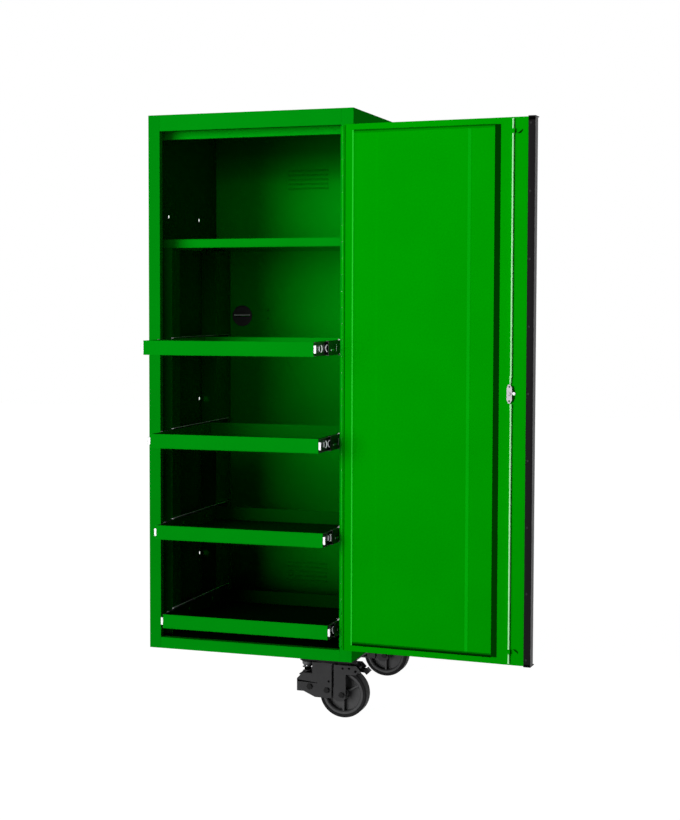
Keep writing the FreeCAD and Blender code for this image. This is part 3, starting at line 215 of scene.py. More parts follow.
def material(name, colour, rough, metal=0.0, specular=0.5, tint=None, tone=(0.97, 1.03),
             tone_scale=6.0, grain=900.0, grain_depth=0.00002, stretch=None, facing=None,
             fade=None):
    """Procedural finish: slight tone drift, uneven gloss and a fine surface grain; a fade paints shade along an
    axis, and a facing paints light or shade on the faces turned one way.
    """
    made = bpy.data.materials.new(name)
    made.use_nodes = True
    tree = made.node_tree
    shader = tree.nodes["Principled BSDF"]
    shader.inputs["Metallic"].default_value = metal
    shader.inputs["Specular IOR Level"].default_value = specular
    if tint is not None:
        shader.inputs["Specular Tint"].default_value = tint
    coordinates = tree.nodes.new("ShaderNodeTexCoord")

    drift = remap(tree, noise(tree, coordinates, tone_scale, 4.0, stretch), 0.0, 1.0)
    shade = mixed(tree, drift, mix_shade(colour, tone[0]), mix_shade(colour, tone[1]))
    if fade is not None:
        shade = faded(tree, coordinates, shade, *fade)
    if facing is not None:
        shade = repainted(tree, coordinates, shade, *facing)
    tree.links.new(shade, shader.inputs["Base Color"])

    patches = noise(tree, coordinates, tone_scale * 5.0, 2.0, stretch)
    tree.links.new(remap(tree, patches, rough[0], rough[1]), shader.inputs["Roughness"])

    bump = tree.nodes.new("ShaderNodeBump")
    bump.inputs["Strength"].default_value = GRAIN_STRENGTH
    bump.inputs["Distance"].default_value = grain_depth
    tree.links.new(noise(tree, coordinates, grain, 2.0, stretch), bump.inputs["Height"])
    tree.links.new(bump.outputs["Normal"], shader.inputs["Normal"])
    return made


def paint(name, colour, rough=(0.42, 0.5), **more):
    """Powder coat without a mirror sheen."""
    return material(name, colour, rough, specular=0.0, **more)


# A fade of painted shade is an axis, its two ends in the row frame, and (share, shade) stops between them.
BOTTOM_TO_TOP = ("Z", at(0.0, 0.0, 0.0).z, at(0.0, 0.0, BODY_H).z)
# Painted shade on the door, darker towards the bottom.
DOOR_PAINTED_SHADE = ((0.0, 0.86), (0.5, 0.94), (1.0, 1.0))
# Painted shade on the inner back, darker under each tray and shelf, from the bottom up.
BACK_PAINTED_SHADE = ((0.045, 0.05), (0.09, 0.42), (0.14, 0.74), (0.214, 1.2), (0.222, 0.52),
             (0.3, 0.75), (0.345, 1.0), (0.384, 1.05), (0.392, 0.5), (0.47, 0.56),
             (0.556, 0.62), (0.62, 0.86), (0.7, 1.05), (0.89, 1.05), (0.915, 0.68),
             (0.955, 0.36), (1.0, 0.3))
# Painted shade on the slide uprights, darker towards the left.
UPRIGHT_PAINTED_SHADE = ("X", 0.06, 0.5, ((0.0, 0.4), (1.0, 1.0)))
TO_THE_RIGHT = (1.0, 0.0, 0.0)
UPWARDS = (0.0, 0.0, 1.0)

# The record's material slots.
BODY_GREEN = linear(0, 150, 15)
LOOKS = {
    "body_green": paint("body_green_paint", BODY_GREEN),
    # The door's green, with painted shade darker towards the bottom.
    "door_green": paint("door_green_painted_shade", linear(0, 163, 1), fade=BOTTOM_TO_TOP + (DOOR_PAINTED_SHADE,)),
    "slide_black": material("slide_black_coat", linear(30, 30, 31), (0.3, 0.45), specular=0.4,
                            tone=(0.8, 1.2), tone_scale=20.0),
    "zinc_steel": material("zinc_plate", linear(215, 216, 220), (0.22, 0.38), metal=1.0,
                           tone=(0.9, 1.05), tone_scale=40.0, grain=1500.0,
                           stretch=(1.0, 1.0, 0.2)),
    # Black anodised pull; its faces turned to the right carry a painted highlight in light grey.
    "black_aluminium": material("black_anodised_with_painted_highlight", linear(19, 18, 19), (0.4, 0.5),
                                specular=0.03, tone=(0.9, 1.15), tone_scale=12.0,
                                grain=2500.0, stretch=(1.0, 1.0, 0.02),
                                facing=(TO_THE_RIGHT, linear(132, 132, 132))),
    "black_plastic": material("black_moulded", linear(24, 24, 25), (0.5, 0.65), specular=0.4,
                              tone=(0.9, 1.1), tone_scale=30.0, grain=1800.0,
                              grain_depth=0.00006),
    "caster_black": material("black_coat", linear(43, 43, 44), (0.42, 0.55), specular=0.12,
                             tone=(0.85, 1.15), tone_scale=25.0),
    "wheel_grey": material("moulded_nylon", linear(58, 58, 59), (0.42, 0.55), specular=0.2,
                           tone=(0.9, 1.1), tone_scale=30.0, grain=1400.0),
    "tyre_black": material("tread_rubber", linear(24, 24, 25), (0.5, 0.65), specular=0.06,
                           tone=(0.85, 1.1), tone_scale=30.0, grain=1100.0,
                           grain_depth=0.00005),
    "spring_steel": material("phosphate_steel", linear(52, 52, 54), (0.3, 0.42), metal=0.5,
                             tone=(0.85, 1.15), tone_scale=60.0),
}

# Bare metal and black finishes of small pieces; some also carry painted light or painted shade.
# Bright zinc of small parts and the grommet's pale brush line; also the painted highlights on the slides' top
# edges and the springs' glint.
BRIGHT_ZINC_AND_HIGHLIGHT = material("bright_zinc_and_highlight", linear(240, 241, 244), (0.3, 0.42), metal=0.1,
                       tone=(0.96, 1.02), tone_scale=40.0)
# Zinc tinted green for the lock rods: a painted green reflection of the door around them.
ROD_ZINC_PAINTED_REFLECTION = material("rod_zinc_painted_reflection", linear(176, 250, 178), (0.35, 0.5), specular=0.05,
                    tone=(0.98, 1.02), tone_scale=12.0)
CAM_ZINC = material("cam_zinc", linear(196, 190, 196), (0.4, 0.55), metal=0.1, specular=0.2,
                    tone=(0.86, 1.05), tone_scale=90.0)
CUP_GREY = material("cup_grey", linear(80, 80, 83), (0.35, 0.5), specular=0.3,
                    tone=(0.85, 1.1), tone_scale=60.0)
SCREW_GREY = material("screw_grey", linear(44, 43, 44), (0.4, 0.5), specular=0.05,
                      tone=(0.9, 1.1), tone_scale=60.0)
BOLT_BLACK = material("bolt_black", linear(12, 12, 13), (0.3, 0.4), specular=0.1,
                      tone=(0.85, 1.15), tone_scale=60.0)
LEVER_BLACK = material("lever_black", linear(22, 22, 23), (0.4, 0.5), specular=0.06,
                       tone=(0.85, 1.15), tone_scale=30.0)
# Black of the pull's caps and the spring sleeve; also painted shade in the casters' holes, leg seams and cheek
# folds.
BLACK_AND_PAINTED_SHADE = paint("black_and_painted_shade", linear(6, 6, 6), (0.7, 0.8))

# Painted highlights and painted shade in greens: on the hinge barrel and jamb, and on the door's bends, gap, slot,
# lances, lock and recess edges.
# Painted highlight on the recess's bend and along the hinge barrel.
HIGHLIGHT_GREEN = material("highlight_green", linear(34, 204, 42), (0.4, 0.5), specular=0.05,
                      tint=(0.12, 1.0, 0.2, 1.0))
# Painted highlight on the stiffener's bend.
BEND_HIGHLIGHT_GREEN = paint("bend_highlight_green", linear(4, 172, 12), (0.4, 0.5))
# Painted shade in the gap between the hinge and the door's flange.
GAP_SHADE_GREEN = paint("gap_shade_green", linear(0, 100, 1), (0.5, 0.6))
# Painted shade on the jamb beside the hinge.
JAMB_SHADE_GREEN = paint("jamb_shade_green", linear(0, 92, 4), (0.5, 0.6))
# Painted shade in the door's slot, its lanced openings and beside the lock's cam.
SLOT_SHADE = paint("slot_painted_shade", linear(0, 56, 1), (0.6, 0.7))
# Painted shade lines along the recess's foot, head and ledge.
RECESS_SHADE_DARK = paint("recess_shade_dark", linear(0, 54, 1), (0.5, 0.6))
RECESS_SHADE_SOFT = paint("recess_shade_soft", linear(0, 106, 1), (0.5, 0.6))
RECESS_SHADE_FAINT = paint("recess_shade_faint", linear(0, 142, 1), (0.5, 0.6))


def tray_paint(number, green, deep):
    """Tray's green with painted shade: darker behind its lip, and a darker green on its upward faces."""
    lip_back = at(0.0, LIP_SHUT_Y + 2.0 - TRAY_OUT[number - 1], 0.0).y
    return paint("tray_green_painted_shade_" + str(number), BODY_GREEN,
                 fade=("Y", lip_back, lip_back + 8.0 * MM, ((0.0, 1.0), (1.0, deep))),
                 facing=(UPWARDS, linear(0, green, 0.1 * green)))


# Nodes with colours of their own; most carry painted light or painted shade, as noted at each.
OWN_LOOK = {
    # A lighter green on the inner back, with the painted shade under each tray and shelf.
    "inner_back_panel": paint("back_green_painted_shade", linear(0, 164, 16),
                              fade=BOTTOM_TO_TOP + (BACK_PAINTED_SHADE,)),
    # Painted shade: the left side's faces turned to the right, inside the cabinet, are dark green.
    "left_side_panel": paint("side_green_painted_shade", BODY_GREEN,
                             facing=(TO_THE_RIGHT, linear(0, 84, 8))),
    # Painted shade on the slide uprights, darker towards the left.
    "slide_uprights": paint("upright_green_painted_shade", BODY_GREEN, fade=UPRIGHT_PAINTED_SHADE),
    # The left stile's green is a little darker: painted shade.
    "left_stile": paint("stile_green_painted_shade", linear(0, 143, 14)),
    # The header stop's green is lighter: painted light against the header's shadow.
    "header_stop": paint("stop_green_painted_light", linear(0, 177, 18)),
    # Very dark green: painted shade on the floor under the lowest tray.
    "floor_panel": paint("floor_green_painted_shade", linear(0, 30, 3), (0.5, 0.6)),
    # Painted shade in the trays, deeper in each lower tray.
    "tray_1": tray_paint(1, 112, 0.9),
    "tray_2": tray_paint(2, 96, 0.6),
    "tray_3": tray_paint(3, 66, 0.35),
    "tray_4": tray_paint(4, 34, 0.12),
    # The lock rods carry the painted green reflection.
    "upper_lock_rod": ROD_ZINC_PAINTED_REFLECTION,
    "lower_lock_rod": ROD_ZINC_PAINTED_REFLECTION,
    "pull_screws": SCREW_GREY,
    "pull_end_caps": BLACK_AND_PAINTED_SHADE,
    # The caster mounts, bolts and floor channels are black, painted darker still as shade under the sill.
    "caster_mounts": LEVER_BLACK,
    "caster_bolts": LEVER_BLACK,
    "floor_channels": LEVER_BLACK,
    "front_caster_pins": BOLT_BLACK,
    "rear_caster_pins": BOLT_BLACK,
    "front_caster_brake_lever": LEVER_BLACK,
    "rear_caster_brake_lever": LEVER_BLACK,
}


# ------------------------------------------------------------------ CAD nodes
# Width of the softened edges of each slot, in millimetres.
EDGE_W = {"body_green": 0.45, "door_green": 0.4, "black_aluminium": 0.4, "caster_black": 0.6,
          "wheel_grey": 0.6, "tyre_black": 0.8, "slide_black": 0.25, "zinc_steel": 0.2,
          "black_plastic": 0.3, "spring_steel": 0.3}
WELD_DISTANCE = 0.00001
BEVEL_FROM = math.radians(32.0)


def soften_edges(thing, width):
    """Bevel the sharp edges without moving the CAD mesh itself."""
    weld = thing.modifiers.new("weld", "WELD")
    weld.merge_threshold = WELD_DISTANCE
    bevel = thing.modifiers.new("bevel", "BEVEL")
    bevel.width = width * MM
    bevel.segments = 2
    bevel.limit_method = "ANGLE"
    bevel.angle_limit = BEVEL_FROM
    bevel.use_clamp_overlap = True
    bevel.harden_normals = False
    weights = thing.modifiers.new("weights", "WEIGHTED_NORMAL")
    weights.keep_sharp = False


def dress(node):
    """Give a CAD node its finish and soft edges."""
    thing = frame["nodes"][node]
    slot = slot_of[node]
    thing.data.materials.clear()
    thing.data.materials.append(OWN_LOOK.get(node, LOOKS[slot]))
    if not node.endswith("_spring"):
        soften_edges(thing, EDGE_W[slot])


# ------------------------------------------------------------------ shapes
def circle(centre, across, other, radius, sides):
    """Points around a centre, in the plane of two unit vectors."""
    turns = [2.0 * math.pi * k / sides for k in range(sides)]
    return [centre + (across * math.cos(turn) + other * math.sin(turn)) * radius for turn in turns]


def arc_turns(half_angle, steps):
    """Angles from minus to plus half_angle degrees, in radians."""
    return [math.radians(-half_angle + 2.0 * half_angle * k / steps) for k in range(steps + 1)]


def ring_mesh(rings, looped=False):
    """Mesh through rings of points. Its ends are capped, or joined when looped."""
    mesh = bpy.data.meshes.new("rings")
    work = bmesh.new()
    made = [[work.verts.new(point) for point in ring] for ring in rings]
    pairs = list(zip(made, made[1:]))
    if looped:
        pairs.append((made[-1], made[0]))
    else:
        work.faces.new(list(reversed(made[0])))
        work.faces.new(made[-1])
    for low, high in pairs:
        count = len(low)
        for k in range(count):
            m = (k + 1) % count
            work.faces.new((low[k], low[m], high[m], high[k]))
    bmesh.ops.recalc_face_normals(work, faces=work.faces)
    work.to_mesh(mesh)
    work.free()
    return mesh


def tube(path, radius, sides=8):
    """Closed round bar along a list of row-frame points, its radius in millimetres."""
    rings = []
    last = len(path) - 1
    normal = None
    for i, point in enumerate(path):
        ahead = path[min(i + 1, last)] - path[max(i - 1, 0)]
        ahead.normalize()
        if normal is None:
            normal = ahead.orthogonal().normalized()
        normal = (normal - ahead * normal.dot(ahead)).normalized()
        rings.append(circle(point, normal, ahead.cross(normal), radius * MM, sides))
    return ring_mesh(rings)


def dome(centre, axis, radius, height, sides=20):
    """Low round head on a face, sized in millimetres: a small flank and a crowned top."""
    axis = axis.normalized()
    across = axis.orthogonal().normalized()
    other = axis.cross(across)
    rings = []
    for share, rise in ((1.0, 0.0), (1.0, 0.35), (0.82, 0.75), (0.5, 0.95)):
        middle = centre + axis * height * rise * MM
        rings.append(circle(middle, across, other, radius * share * MM, sides))
    return ring_mesh(rings)


def lathe(profile, centre, sides=32):
    """Closed ring turned from (radius, height) points about an upright axis."""
    columns = []
    for k in range(sides):
        turn = 2.0 * math.pi * k / sides
        columns.append([centre + mm(r * math.cos(turn), r * math.sin(turn), h)
                        for r, h in profile])
    return ring_mesh(columns, looped=True)


def rectangle(a0, a1, b0, b1, place):
    """Four corners, each set by place(a, b)."""
    return [place(a0, b0), place(a1, b0), place(a1, b1), place(a0, b1)]


def rounded(a0, a1, b0, b1, corner, place):
    """Rectangle with cut corners, its points set by place(a, b)."""
    return [place(a0 + corner, b0), place(a1 - corner, b0), place(a1, b0 + corner),
            place(a1, b1 - corner), place(a1 - corner, b1), place(a0 + corner, b1),
            place(a0, b1 - corner), place(a0, b0 + corner)]


def piece(name, mesh, body, slot, look=None, smooth=True):
    """Finish a new piece: link, shade, give it a finish and let it ride."""
    thing = bpy.data.objects.new(name, mesh)
    scene.collection.objects.link(thing)
    for face in mesh.polygons:
        face.use_smooth = smooth
    mesh.materials.append(look or LOOKS[slot])
    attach(thing, body)
    return thing


def plate(name, outline, depth, body, slot, look):
    """Flat piece: an outline pushed along a depth vector."""
    mesh = ring_mesh([outline, [point + depth for point in outline]])
    return piece(name, mesh, body, slot, look, smooth=False)


# ------------------------------------------------------------------ trays and slides
# Places across are from mid-width; heights are from the slide's mid height.
TAB_X = (247.4, 253.7)
TAB_HALF_H = 10.6
STOP_X = 246.0
STOP_BACK = 47.0           # from the inner member's front end
HOOK_X = 245.2
HOOK_BACK = 59.0
HOOK_SHOWS_FROM = 125.0    # a tray that is out less than this hides its hook
RETAINER_HALF_H = 10.0
RETAINER_TURN = 75.0
JAW_X = 252.6
JAW_FRONT = 1.6            # before the middle member's front end
LATCH_X = 253.9
LATCH_DROP = 5.0
LATCH_FLATNESS = 0.36
BOW_X = 253.6
BOW_BACK = 66.0
OUTER_X = (248.2, 255.8)
OUTER_TOP = 22.55
EAR_H = 19.5
RIVET_X = 242.05           # just inside the tray's side
RIVET_H = 3.0


def inner_slide_marks(name, side, out, mid, body):
    """End tab, stop pin and retainer hook of an inner member."""
    lip_back = LIP_SHUT_Y + SHEET - out
    front = SLIDE_SHUT_Y - out
    face = rounded(*TAB_X, mid - TAB_HALF_H, mid + TAB_HALF_H, 1.2,
                   lambda x, z: at(side * x, lip_back - 0.05, z))
    plate(name + "_tab", face, mm(0.0, -0.3, 0.0), body, "zinc_steel", BRIGHT_ZINC_AND_HIGHLIGHT)
    stop = [at(side * STOP_X, front + STOP_BACK, mid + dz) for dz in (-8.0, -4.0, 0.0, 4.0, 8.0)]
    piece(name + "_stop", tube(stop, 1.7), body, "zinc_steel")
    if out > HOOK_SHOWS_FROM:
        hook = [at(side * (HOOK_X + 5.2 * math.cos(turn)), front + HOOK_BACK,
                   mid + RETAINER_HALF_H * math.sin(turn)) for turn in arc_turns(RETAINER_TURN, 12)]
        piece(name + "_hook", tube(hook, 2.0), body, "zinc_steel")


def middle_slide_marks(name, side, out, mid, body):
    """Retainer jaw, latch and retainer bow of a middle member."""
    front = SLIDE_SHUT_Y - out / 2.0
    jaw = [at(side * (JAW_X - 6.4 * math.cos(turn)), front - JAW_FRONT,
              mid + RETAINER_HALF_H * math.sin(turn)) for turn in arc_turns(RETAINER_TURN, 12)]
    piece(name + "_jaw", tube(jaw, 1.5), body, "zinc_steel")
    path = [at(side * LATCH_X, front + dy, mid - LATCH_DROP + lift) for dy, lift in
            ((24.0, -0.8), (30.0, 0.0), (46.0, 0.0), (52.0, -0.8))]
    latch = tube(path, 2.4)
    for vertex in latch.vertices:
        vertex.co.x = path[0].x + (vertex.co.x - path[0].x) * LATCH_FLATNESS
    piece(name + "_latch", latch, body, "zinc_steel")
    bow = [at(side * BOW_X, front + BOW_BACK + 10.0 * math.cos(turn),
              mid + 11.0 * math.sin(turn)) for turn in arc_turns(60.0, 8)]
    piece(name + "_bow", tube(bow, 1.2), body, "zinc_steel")


def outer_slide_marks(name, side, mid):
    """Painted highlight along an outer member's top edge, and its bent ears."""
    edge = rectangle(*OUTER_X, SLIDE_SHUT_Y + 0.3, SLIDE_SHUT_Y + SLIDE_L - 0.5,
                     lambda x, y: at(side * x, y, mid + OUTER_TOP))
    plate(name + "_slide_edge_highlight", edge, mm(0.0, 0.0, 0.3), "root", "slide_black", BRIGHT_ZINC_AND_HIGHLIGHT)
    for part, dz in (("upper", EAR_H), ("lower", -EAR_H)):
        ear = [at(side * x, SLIDE_SHUT_Y - 1.4, mid + dz + lift) for x, lift in
               ((249.0, 0.0), (251.5, 1.6), (255.0, 1.2))]
        piece(name + "_" + part + "_ear", tube(ear, 1.3), "root", "zinc_steel", BRIGHT_ZINC_AND_HIGHLIGHT)


def tray_rivets(name, side, out, mid, body):
    """Heads of the rivets that hold a tray to its slide."""
    for part, y in (("front", 190.0), ("rear", 379.0)):
        head = dome(at(side * RIVET_X, LIP_SHUT_Y - out + y, mid + RIVET_H),
                    Vector((-side, 0.0, 0.0)), 4.5, 1.4)
        piece(name + "_" + part + "_rivet", head, body, "body_green")


def slide_details():
    """Small pieces of the trays and their slides."""
    for number, out, mid in zip(TRAYS, TRAY_OUT, SLIDE_MID_Z):
        tray = "tray_" + str(number)
        for label, side in (("right", 1.0), ("left", -1.0)):
            name = tray + "_" + label
            inner_slide_marks(name, side, out, mid, tray)
            middle_slide_marks(name, side, out, mid, "slide_middle_" + str(number))
            outer_slide_marks(name, side, mid)
            tray_rivets(name, side, out, mid, tray)


# ------------------------------------------------------------------ door
RECESS_U = (39.2, 432.8)
RECESS_Z = (56.3, 1468.2)
PAN_V = 18.05              # on the recess's floor, from the door's outer face
ON_LINER = DOOR_T + 0.05


def door_strip(name, u, v, thickness, look, z=RECESS_Z):
    """Thin upright strip on the door's inner side, carrying painted light or painted shade and casting no shadow.
    """
    face = rectangle(*u, *z, lambda along, height: on_door(along, v, height))
    strip = plate(name, face, door_depth(thickness), "door", "door_green", look)
    strip.visible_shadow = False


def recess_details():
    """Painted highlights on the bends, painted shade in the slot and the gap by the hinge, and soft painted shade
    lines along the recess's foot, head and ledge.
    """
    # A dark sheet of painted shade across the slot, above its real floor.
    door_strip("slot_floor_shade", (433.2, 450.8), 19.0, 0.3, SLOT_SHADE)
    # Painted highlights on the recess's and the stiffener's bends.
    door_strip("recess_bend_highlight", (38.6, 42.4), DOOR_T - 0.25, 0.25, HIGHLIGHT_GREEN)
    door_strip("stiffener_bend_highlight", (360.2, 368.6), PAN_V, 0.25, BEND_HIGHLIGHT_GREEN)
    # Painted shade in the gap between the hinge and the door's flange.
    door_strip("hinge_side_gap_shade", (16.3, 19.4), DOOR_T + 0.02, 0.25, GAP_SHADE_GREEN, (42.0, 1482.0))
    # Painted shade lines along the foot and head of the recess.
    for name, look, z in (("recess_foot", RECESS_SHADE_DARK, (56.7, 61.2)),
                          ("recess_foot_edge", RECESS_SHADE_SOFT, (61.2, 64.8)),
                          ("recess_head", RECESS_SHADE_SOFT, (1465.0, 1468.1)),
                          ("recess_head_edge", RECESS_SHADE_FAINT, (1460.4, 1465.0))):
        door_strip(name, RECESS_U, PAN_V + 0.3, 0.2, look, z)
    # Painted shade on the ledge at the recess's foot.
    ledge = rectangle(*RECESS_U, PAN_V + 0.35, DOOR_T - 0.1, lambda u, v: on_door(u, v, 56.65))
    plate("recess_ledge", ledge, mm(0.0, 0.0, 0.3), "door", "door_green", RECESS_SHADE_DARK)


LANCE_U = 494.5
LANCE_L = 14.5
LANCE_BEND = 8.2
LANCE_STEPS = 8


def guide_lances():
    """Painted shade in the lanced openings beside the rods' guides, curving away from the lock."""
    for label, sign, base in (("upper", 1.0, 1442.5), ("lower", -1.0, 82.0)):
        low_side = []
        high_side = []
        for k in range(LANCE_STEPS + 1):
            share = k / LANCE_STEPS
            u = LANCE_U + LANCE_L * share
            z = base + sign * LANCE_BEND * share * share
            half = 0.5 + 4.2 * math.sin(math.pi * min(1.0, 0.15 + 0.75 * share)) * share
            low_side.append(on_door(u, ON_LINER, z - half))
            high_side.append(on_door(u, ON_LINER, z + half))
        plate("guide_lance_shade_" + label, low_side + high_side[::-1], door_depth(0.25), "door",
              "door_green", SLOT_SHADE)


CAM_V = 27.7
CAM_T = 2.0
CAM_HALF_OUTLINE = ((-7.0, -15.0), (-3.2, -25.0), (3.2, -25.0), (7.0, -15.0))


def lock_details():
    """Cam with tapered ends and rivets, the stud beside it, and a painted shadow beside the cam."""
    outline = CAM_HALF_OUTLINE + tuple((-du, -dz) for du, dz in CAM_HALF_OUTLINE)
    face = [on_door(LOCK_U + du, CAM_V, LOCK_Z + dz) for du, dz in outline]
    cam = plate("cam_plate", face, door_depth(CAM_T), "lock_cam", "zinc_steel", CAM_ZINC)
    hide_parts("lock_cam")
    outward = door_depth(1.0)
    for name, dz, radius, height, look in (("cam_rivet_upper", 19.0, 2.4, 1.0, SCREW_GREY),
                                           ("cam_rivet_lower", -19.0, 2.4, 1.0, SCREW_GREY),
                                           ("cam_nut", 0.0, 4.6, 1.8, CAM_ZINC)):
        head = dome(on_door(LOCK_U, CAM_V + CAM_T, LOCK_Z + dz), outward, radius, height)
        piece(name, head, "lock_cam", "zinc_steel", look)
    spindle = dome(on_door(LOCK_U, CAM_V - 3.4, LOCK_Z), outward, 3.5, 3.4)
    piece("cam_spindle", spindle, "lock_cam", "zinc_steel", CAM_ZINC)
    # The stud's head stays under the cam, which turns over it.
    stud = dome(on_door(LOCK_U + 11.5, CAM_V - 0.45, LOCK_Z + 1.0), outward, 4.3, 0.38)
    piece("lock_stud", stud, "door", "zinc_steel", BRIGHT_ZINC_AND_HIGHLIGHT)
    # Painted shadow on the door beside the cam.
    shade = [on_door(LOCK_U + du, DOOR_T + 0.04, LOCK_Z + dz) for du, dz in
             ((7.6, -24.0), (10.6, -22.0), (14.6, -10.0), (14.6, 8.0), (11.6, 20.0), (7.6, 24.0))]
    plate("lock_shadow", shade, door_depth(0.2), "door", "door_green", SLOT_SHADE)


PULL_FLANGE_U = (523.7, 542.3)
PULL_FLANGE_V = 27.02


def pull_caps():
    """Skirts of the moulded caps over the pull's inner flange."""
    for name, z0, z1 in (("upper", 1475.2, 1483.0), ("lower", 40.4, 44.6)):
        face = rectangle(*PULL_FLANGE_U, z0, z1, lambda u, z: on_door(u, PULL_FLANGE_V, z))
        plate("pull_cap_skirt_" + name, face, door_depth(0.28), "door", "black_plastic",
              BLACK_AND_PAINTED_SHADE)


# ------------------------------------------------------------------ cabinet
def hinge_lines():
    """Painted highlight along the hinge barrel and painted shade on the frame beside it."""
    line = [at(277.4, -8.2, z) for z in (46.0, 500.0, 1000.0, 1480.0)]
    piece("hinge_sheen", tube(line, 1.0), "root", "body_green", HIGHLIGHT_GREEN)
    jamb = rectangle(270.0, 273.0, 44.0, 1484.0, lambda x, z: at(x, -0.02, z))
    shade = plate("jamb_shade", jamb, mm(0.0, -0.2, 0.0), "root", "body_green", JAMB_SHADE_GREEN)
    shade.visible_shadow = False


def cable_slit():
    """Pale brush line across the grommet's slit."""
    face = rounded(-243.0, -189.0, 957.9, 960.4, 0.6, lambda x, z: at(x, 534.9, z))
    plate("grommet_brush", face, mm(0.0, -0.3, 0.0), "root", "black_plastic", BRIGHT_ZINC_AND_HIGHLIGHT)


# ------------------------------------------------------------------ casters
# Heights are from the cabinet's bottom edge; x and y are from the swivel axis.
SPRING_X = -58.0
COIL_R = 12.8
COIL_WIRE_R = 2.2
COIL_TURNS = 3.0
COIL_STEPS = 180
COIL_Z = (-57.5, -33.0)
COIL_REST = 0.18           # share of the coil's length that lies flat at each end
RACEWAY_R = 27.5
SEAL_R = 3.4
SEAL_Z = -12.5
SEAL_STEPS = 32
CHEEK_FACE_Y = 33.05
EAR_FACE_Y = 36.35


def coil(spot):
    """Suspension spring with closed end turns, on the yoke's shelf."""
    low, high = COIL_Z
    path = []
    for i in range(COIL_STEPS + 1):
        share = i / COIL_STEPS
        rise = min(1.0, max(0.0, (share - COIL_REST) / (1.0 - 2.0 * COIL_REST)))
        turn = 2.0 * math.pi * COIL_TURNS * share
        path.append(spot(SPRING_X + COIL_R * math.cos(turn), COIL_R * math.sin(turn),
                         low + (high - low) * rise))
    return tube(path, COIL_WIRE_R, 10)


def spring_details(label, spot, yoke, bolt):
    """Coil and black sleeve on the yoke, and the plate, cup and a painted glint that the draw bolt carries."""
    spring = piece(label + "_coil", coil(spot), yoke, "spring_steel")
    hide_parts(label + "_caster_spring")
    centre = spot(SPRING_X, 0.0, 0.0)
    cap = [(3.6, -20.0), (18.6, -20.0), (17.4, -28.0), (3.6, -28.0)]
    cup = [(3.4, -28.4), (15.6, -28.4), (15.6, -35.6), (10.8, -41.0), (9.6, -41.0),
           (15.2, -35.2), (15.2, -29.6), (3.4, -29.6)]
    sleeve = [(4.9, -59.5), (9.4, -59.5), (9.4, -44.0), (4.9, -44.0)]
    for name, profile, body, look in (("_spring_plate", cap, bolt, BOLT_BLACK),
                                      ("_spring_cup", cup, bolt, CUP_GREY),
                                      ("_spring_sleeve", sleeve, yoke, BLACK_AND_PAINTED_SHADE)):
        piece(label + name, lathe(profile, centre), body, "spring_steel", look, smooth=False)
    # A painted glint on the coil's front, carried by the draw bolt.
    glint = dome(spot(SPRING_X + 1.6, -15.0, -39.6), Vector((0.0, -1.0, 0.0)), 2.0, 0.8)
    piece(label + "_spring_glint", glint, bolt, "zinc_steel", BRIGHT_ZINC_AND_HIGHLIGHT)


def yoke_details(label, spot, yoke):
    """Raceway seal, neck gusset, brake bracket, and painted shade in the seam down the near leg."""
    turns = [2.0 * math.pi * k / SEAL_STEPS for k in range(SEAL_STEPS + 1)]
    ring = [spot(RACEWAY_R * math.cos(turn), RACEWAY_R * math.sin(turn), SEAL_Z) for turn in turns]
    piece(label + "_raceway_seal", tube(ring, SEAL_R, 10), "root", "caster_black", BOLT_BLACK)
    gusset = [spot(x, -12.0, z) for x, z in
              ((-41.6, -27.4), (-33.8, -27.4), (-33.8, -56.0), (-40.4, -56.0))]
    plate(label + "_neck_gusset", gusset, mm(0.0, 24.0, 0.0), yoke, "caster_black", BOLT_BLACK)
    bracket = [spot(x, -8.0, z) for x, z in
               ((34.0, -16.4), (60.0, -16.4), (60.0, -26.0), (52.0, -34.0), (34.0, -34.0))]
    plate(label + "_brake_bracket", bracket, mm(0.0, 16.0, 0.0), yoke, "caster_black", BOLT_BLACK)
    seam = [spot(x, -CHEEK_FACE_Y, z) for x, z in
            ((23.6, -27.0), (25.9, -27.0), (25.9, -123.0), (23.6, -123.0))]
    plate(label + "_leg_seam_shade", seam, mm(0.0, -0.2, 0.0), yoke, "caster_black", BLACK_AND_PAINTED_SHADE)


def punched_holes(label, spot, yoke, rocker):
    """Holes in the rocker's ears and the yoke's cheeks, painted as dark discs for the shade inside them, and
    painted shadow lines along the cheeks' folds.
    """
    for side, sign in (("near", -1.0), ("far", 1.0)):
        out = Vector((0.0, sign, 0.0))
        for number, (x, z, radius) in enumerate(((57.0, -35.0, 3.4), (76.0, -34.0, 3.4),
                                                 (95.0, -41.0, 3.8))):
            hole = dome(spot(x, sign * EAR_FACE_Y, z), out, radius, 0.25)
            piece(label + "_ear_hole_" + side + "_" + str(number), hole, rocker,
                  "caster_black", BLACK_AND_PAINTED_SHADE, smooth=False)
        hole = dome(spot(15.0, sign * CHEEK_FACE_Y, -76.0), out, 3.3, 0.2)
        piece(label + "_cheek_hole_" + side, hole, yoke, "caster_black", BLACK_AND_PAINTED_SHADE,
              smooth=False)
        fold = [spot(x, sign * CHEEK_FACE_Y, z) for x, z in
                ((-79.6, -76.6), (-18.5, -82.2), (-18.5, -84.0), (-79.6, -81.6))]
        plate(label + "_cheek_fold_shadow_" + side, fold, out * 0.2 * MM, yoke, "caster_black",
              BLACK_AND_PAINTED_SHADE)


def caster_details(label):
    """Small pieces of one caster."""
    axis_x, axis_y, _ = home(label + "_caster_swivel")

    def spot(x, y, z):
        return at(axis_x + x, axis_y + y, z)

    yoke = label + "_caster_yoke"
    spring_details(label, spot, yoke, label + "_caster_draw_bolt")
    yoke_details(label, spot, yoke)
    punched_holes(label, spot, yoke, label + "_caster_rocker")


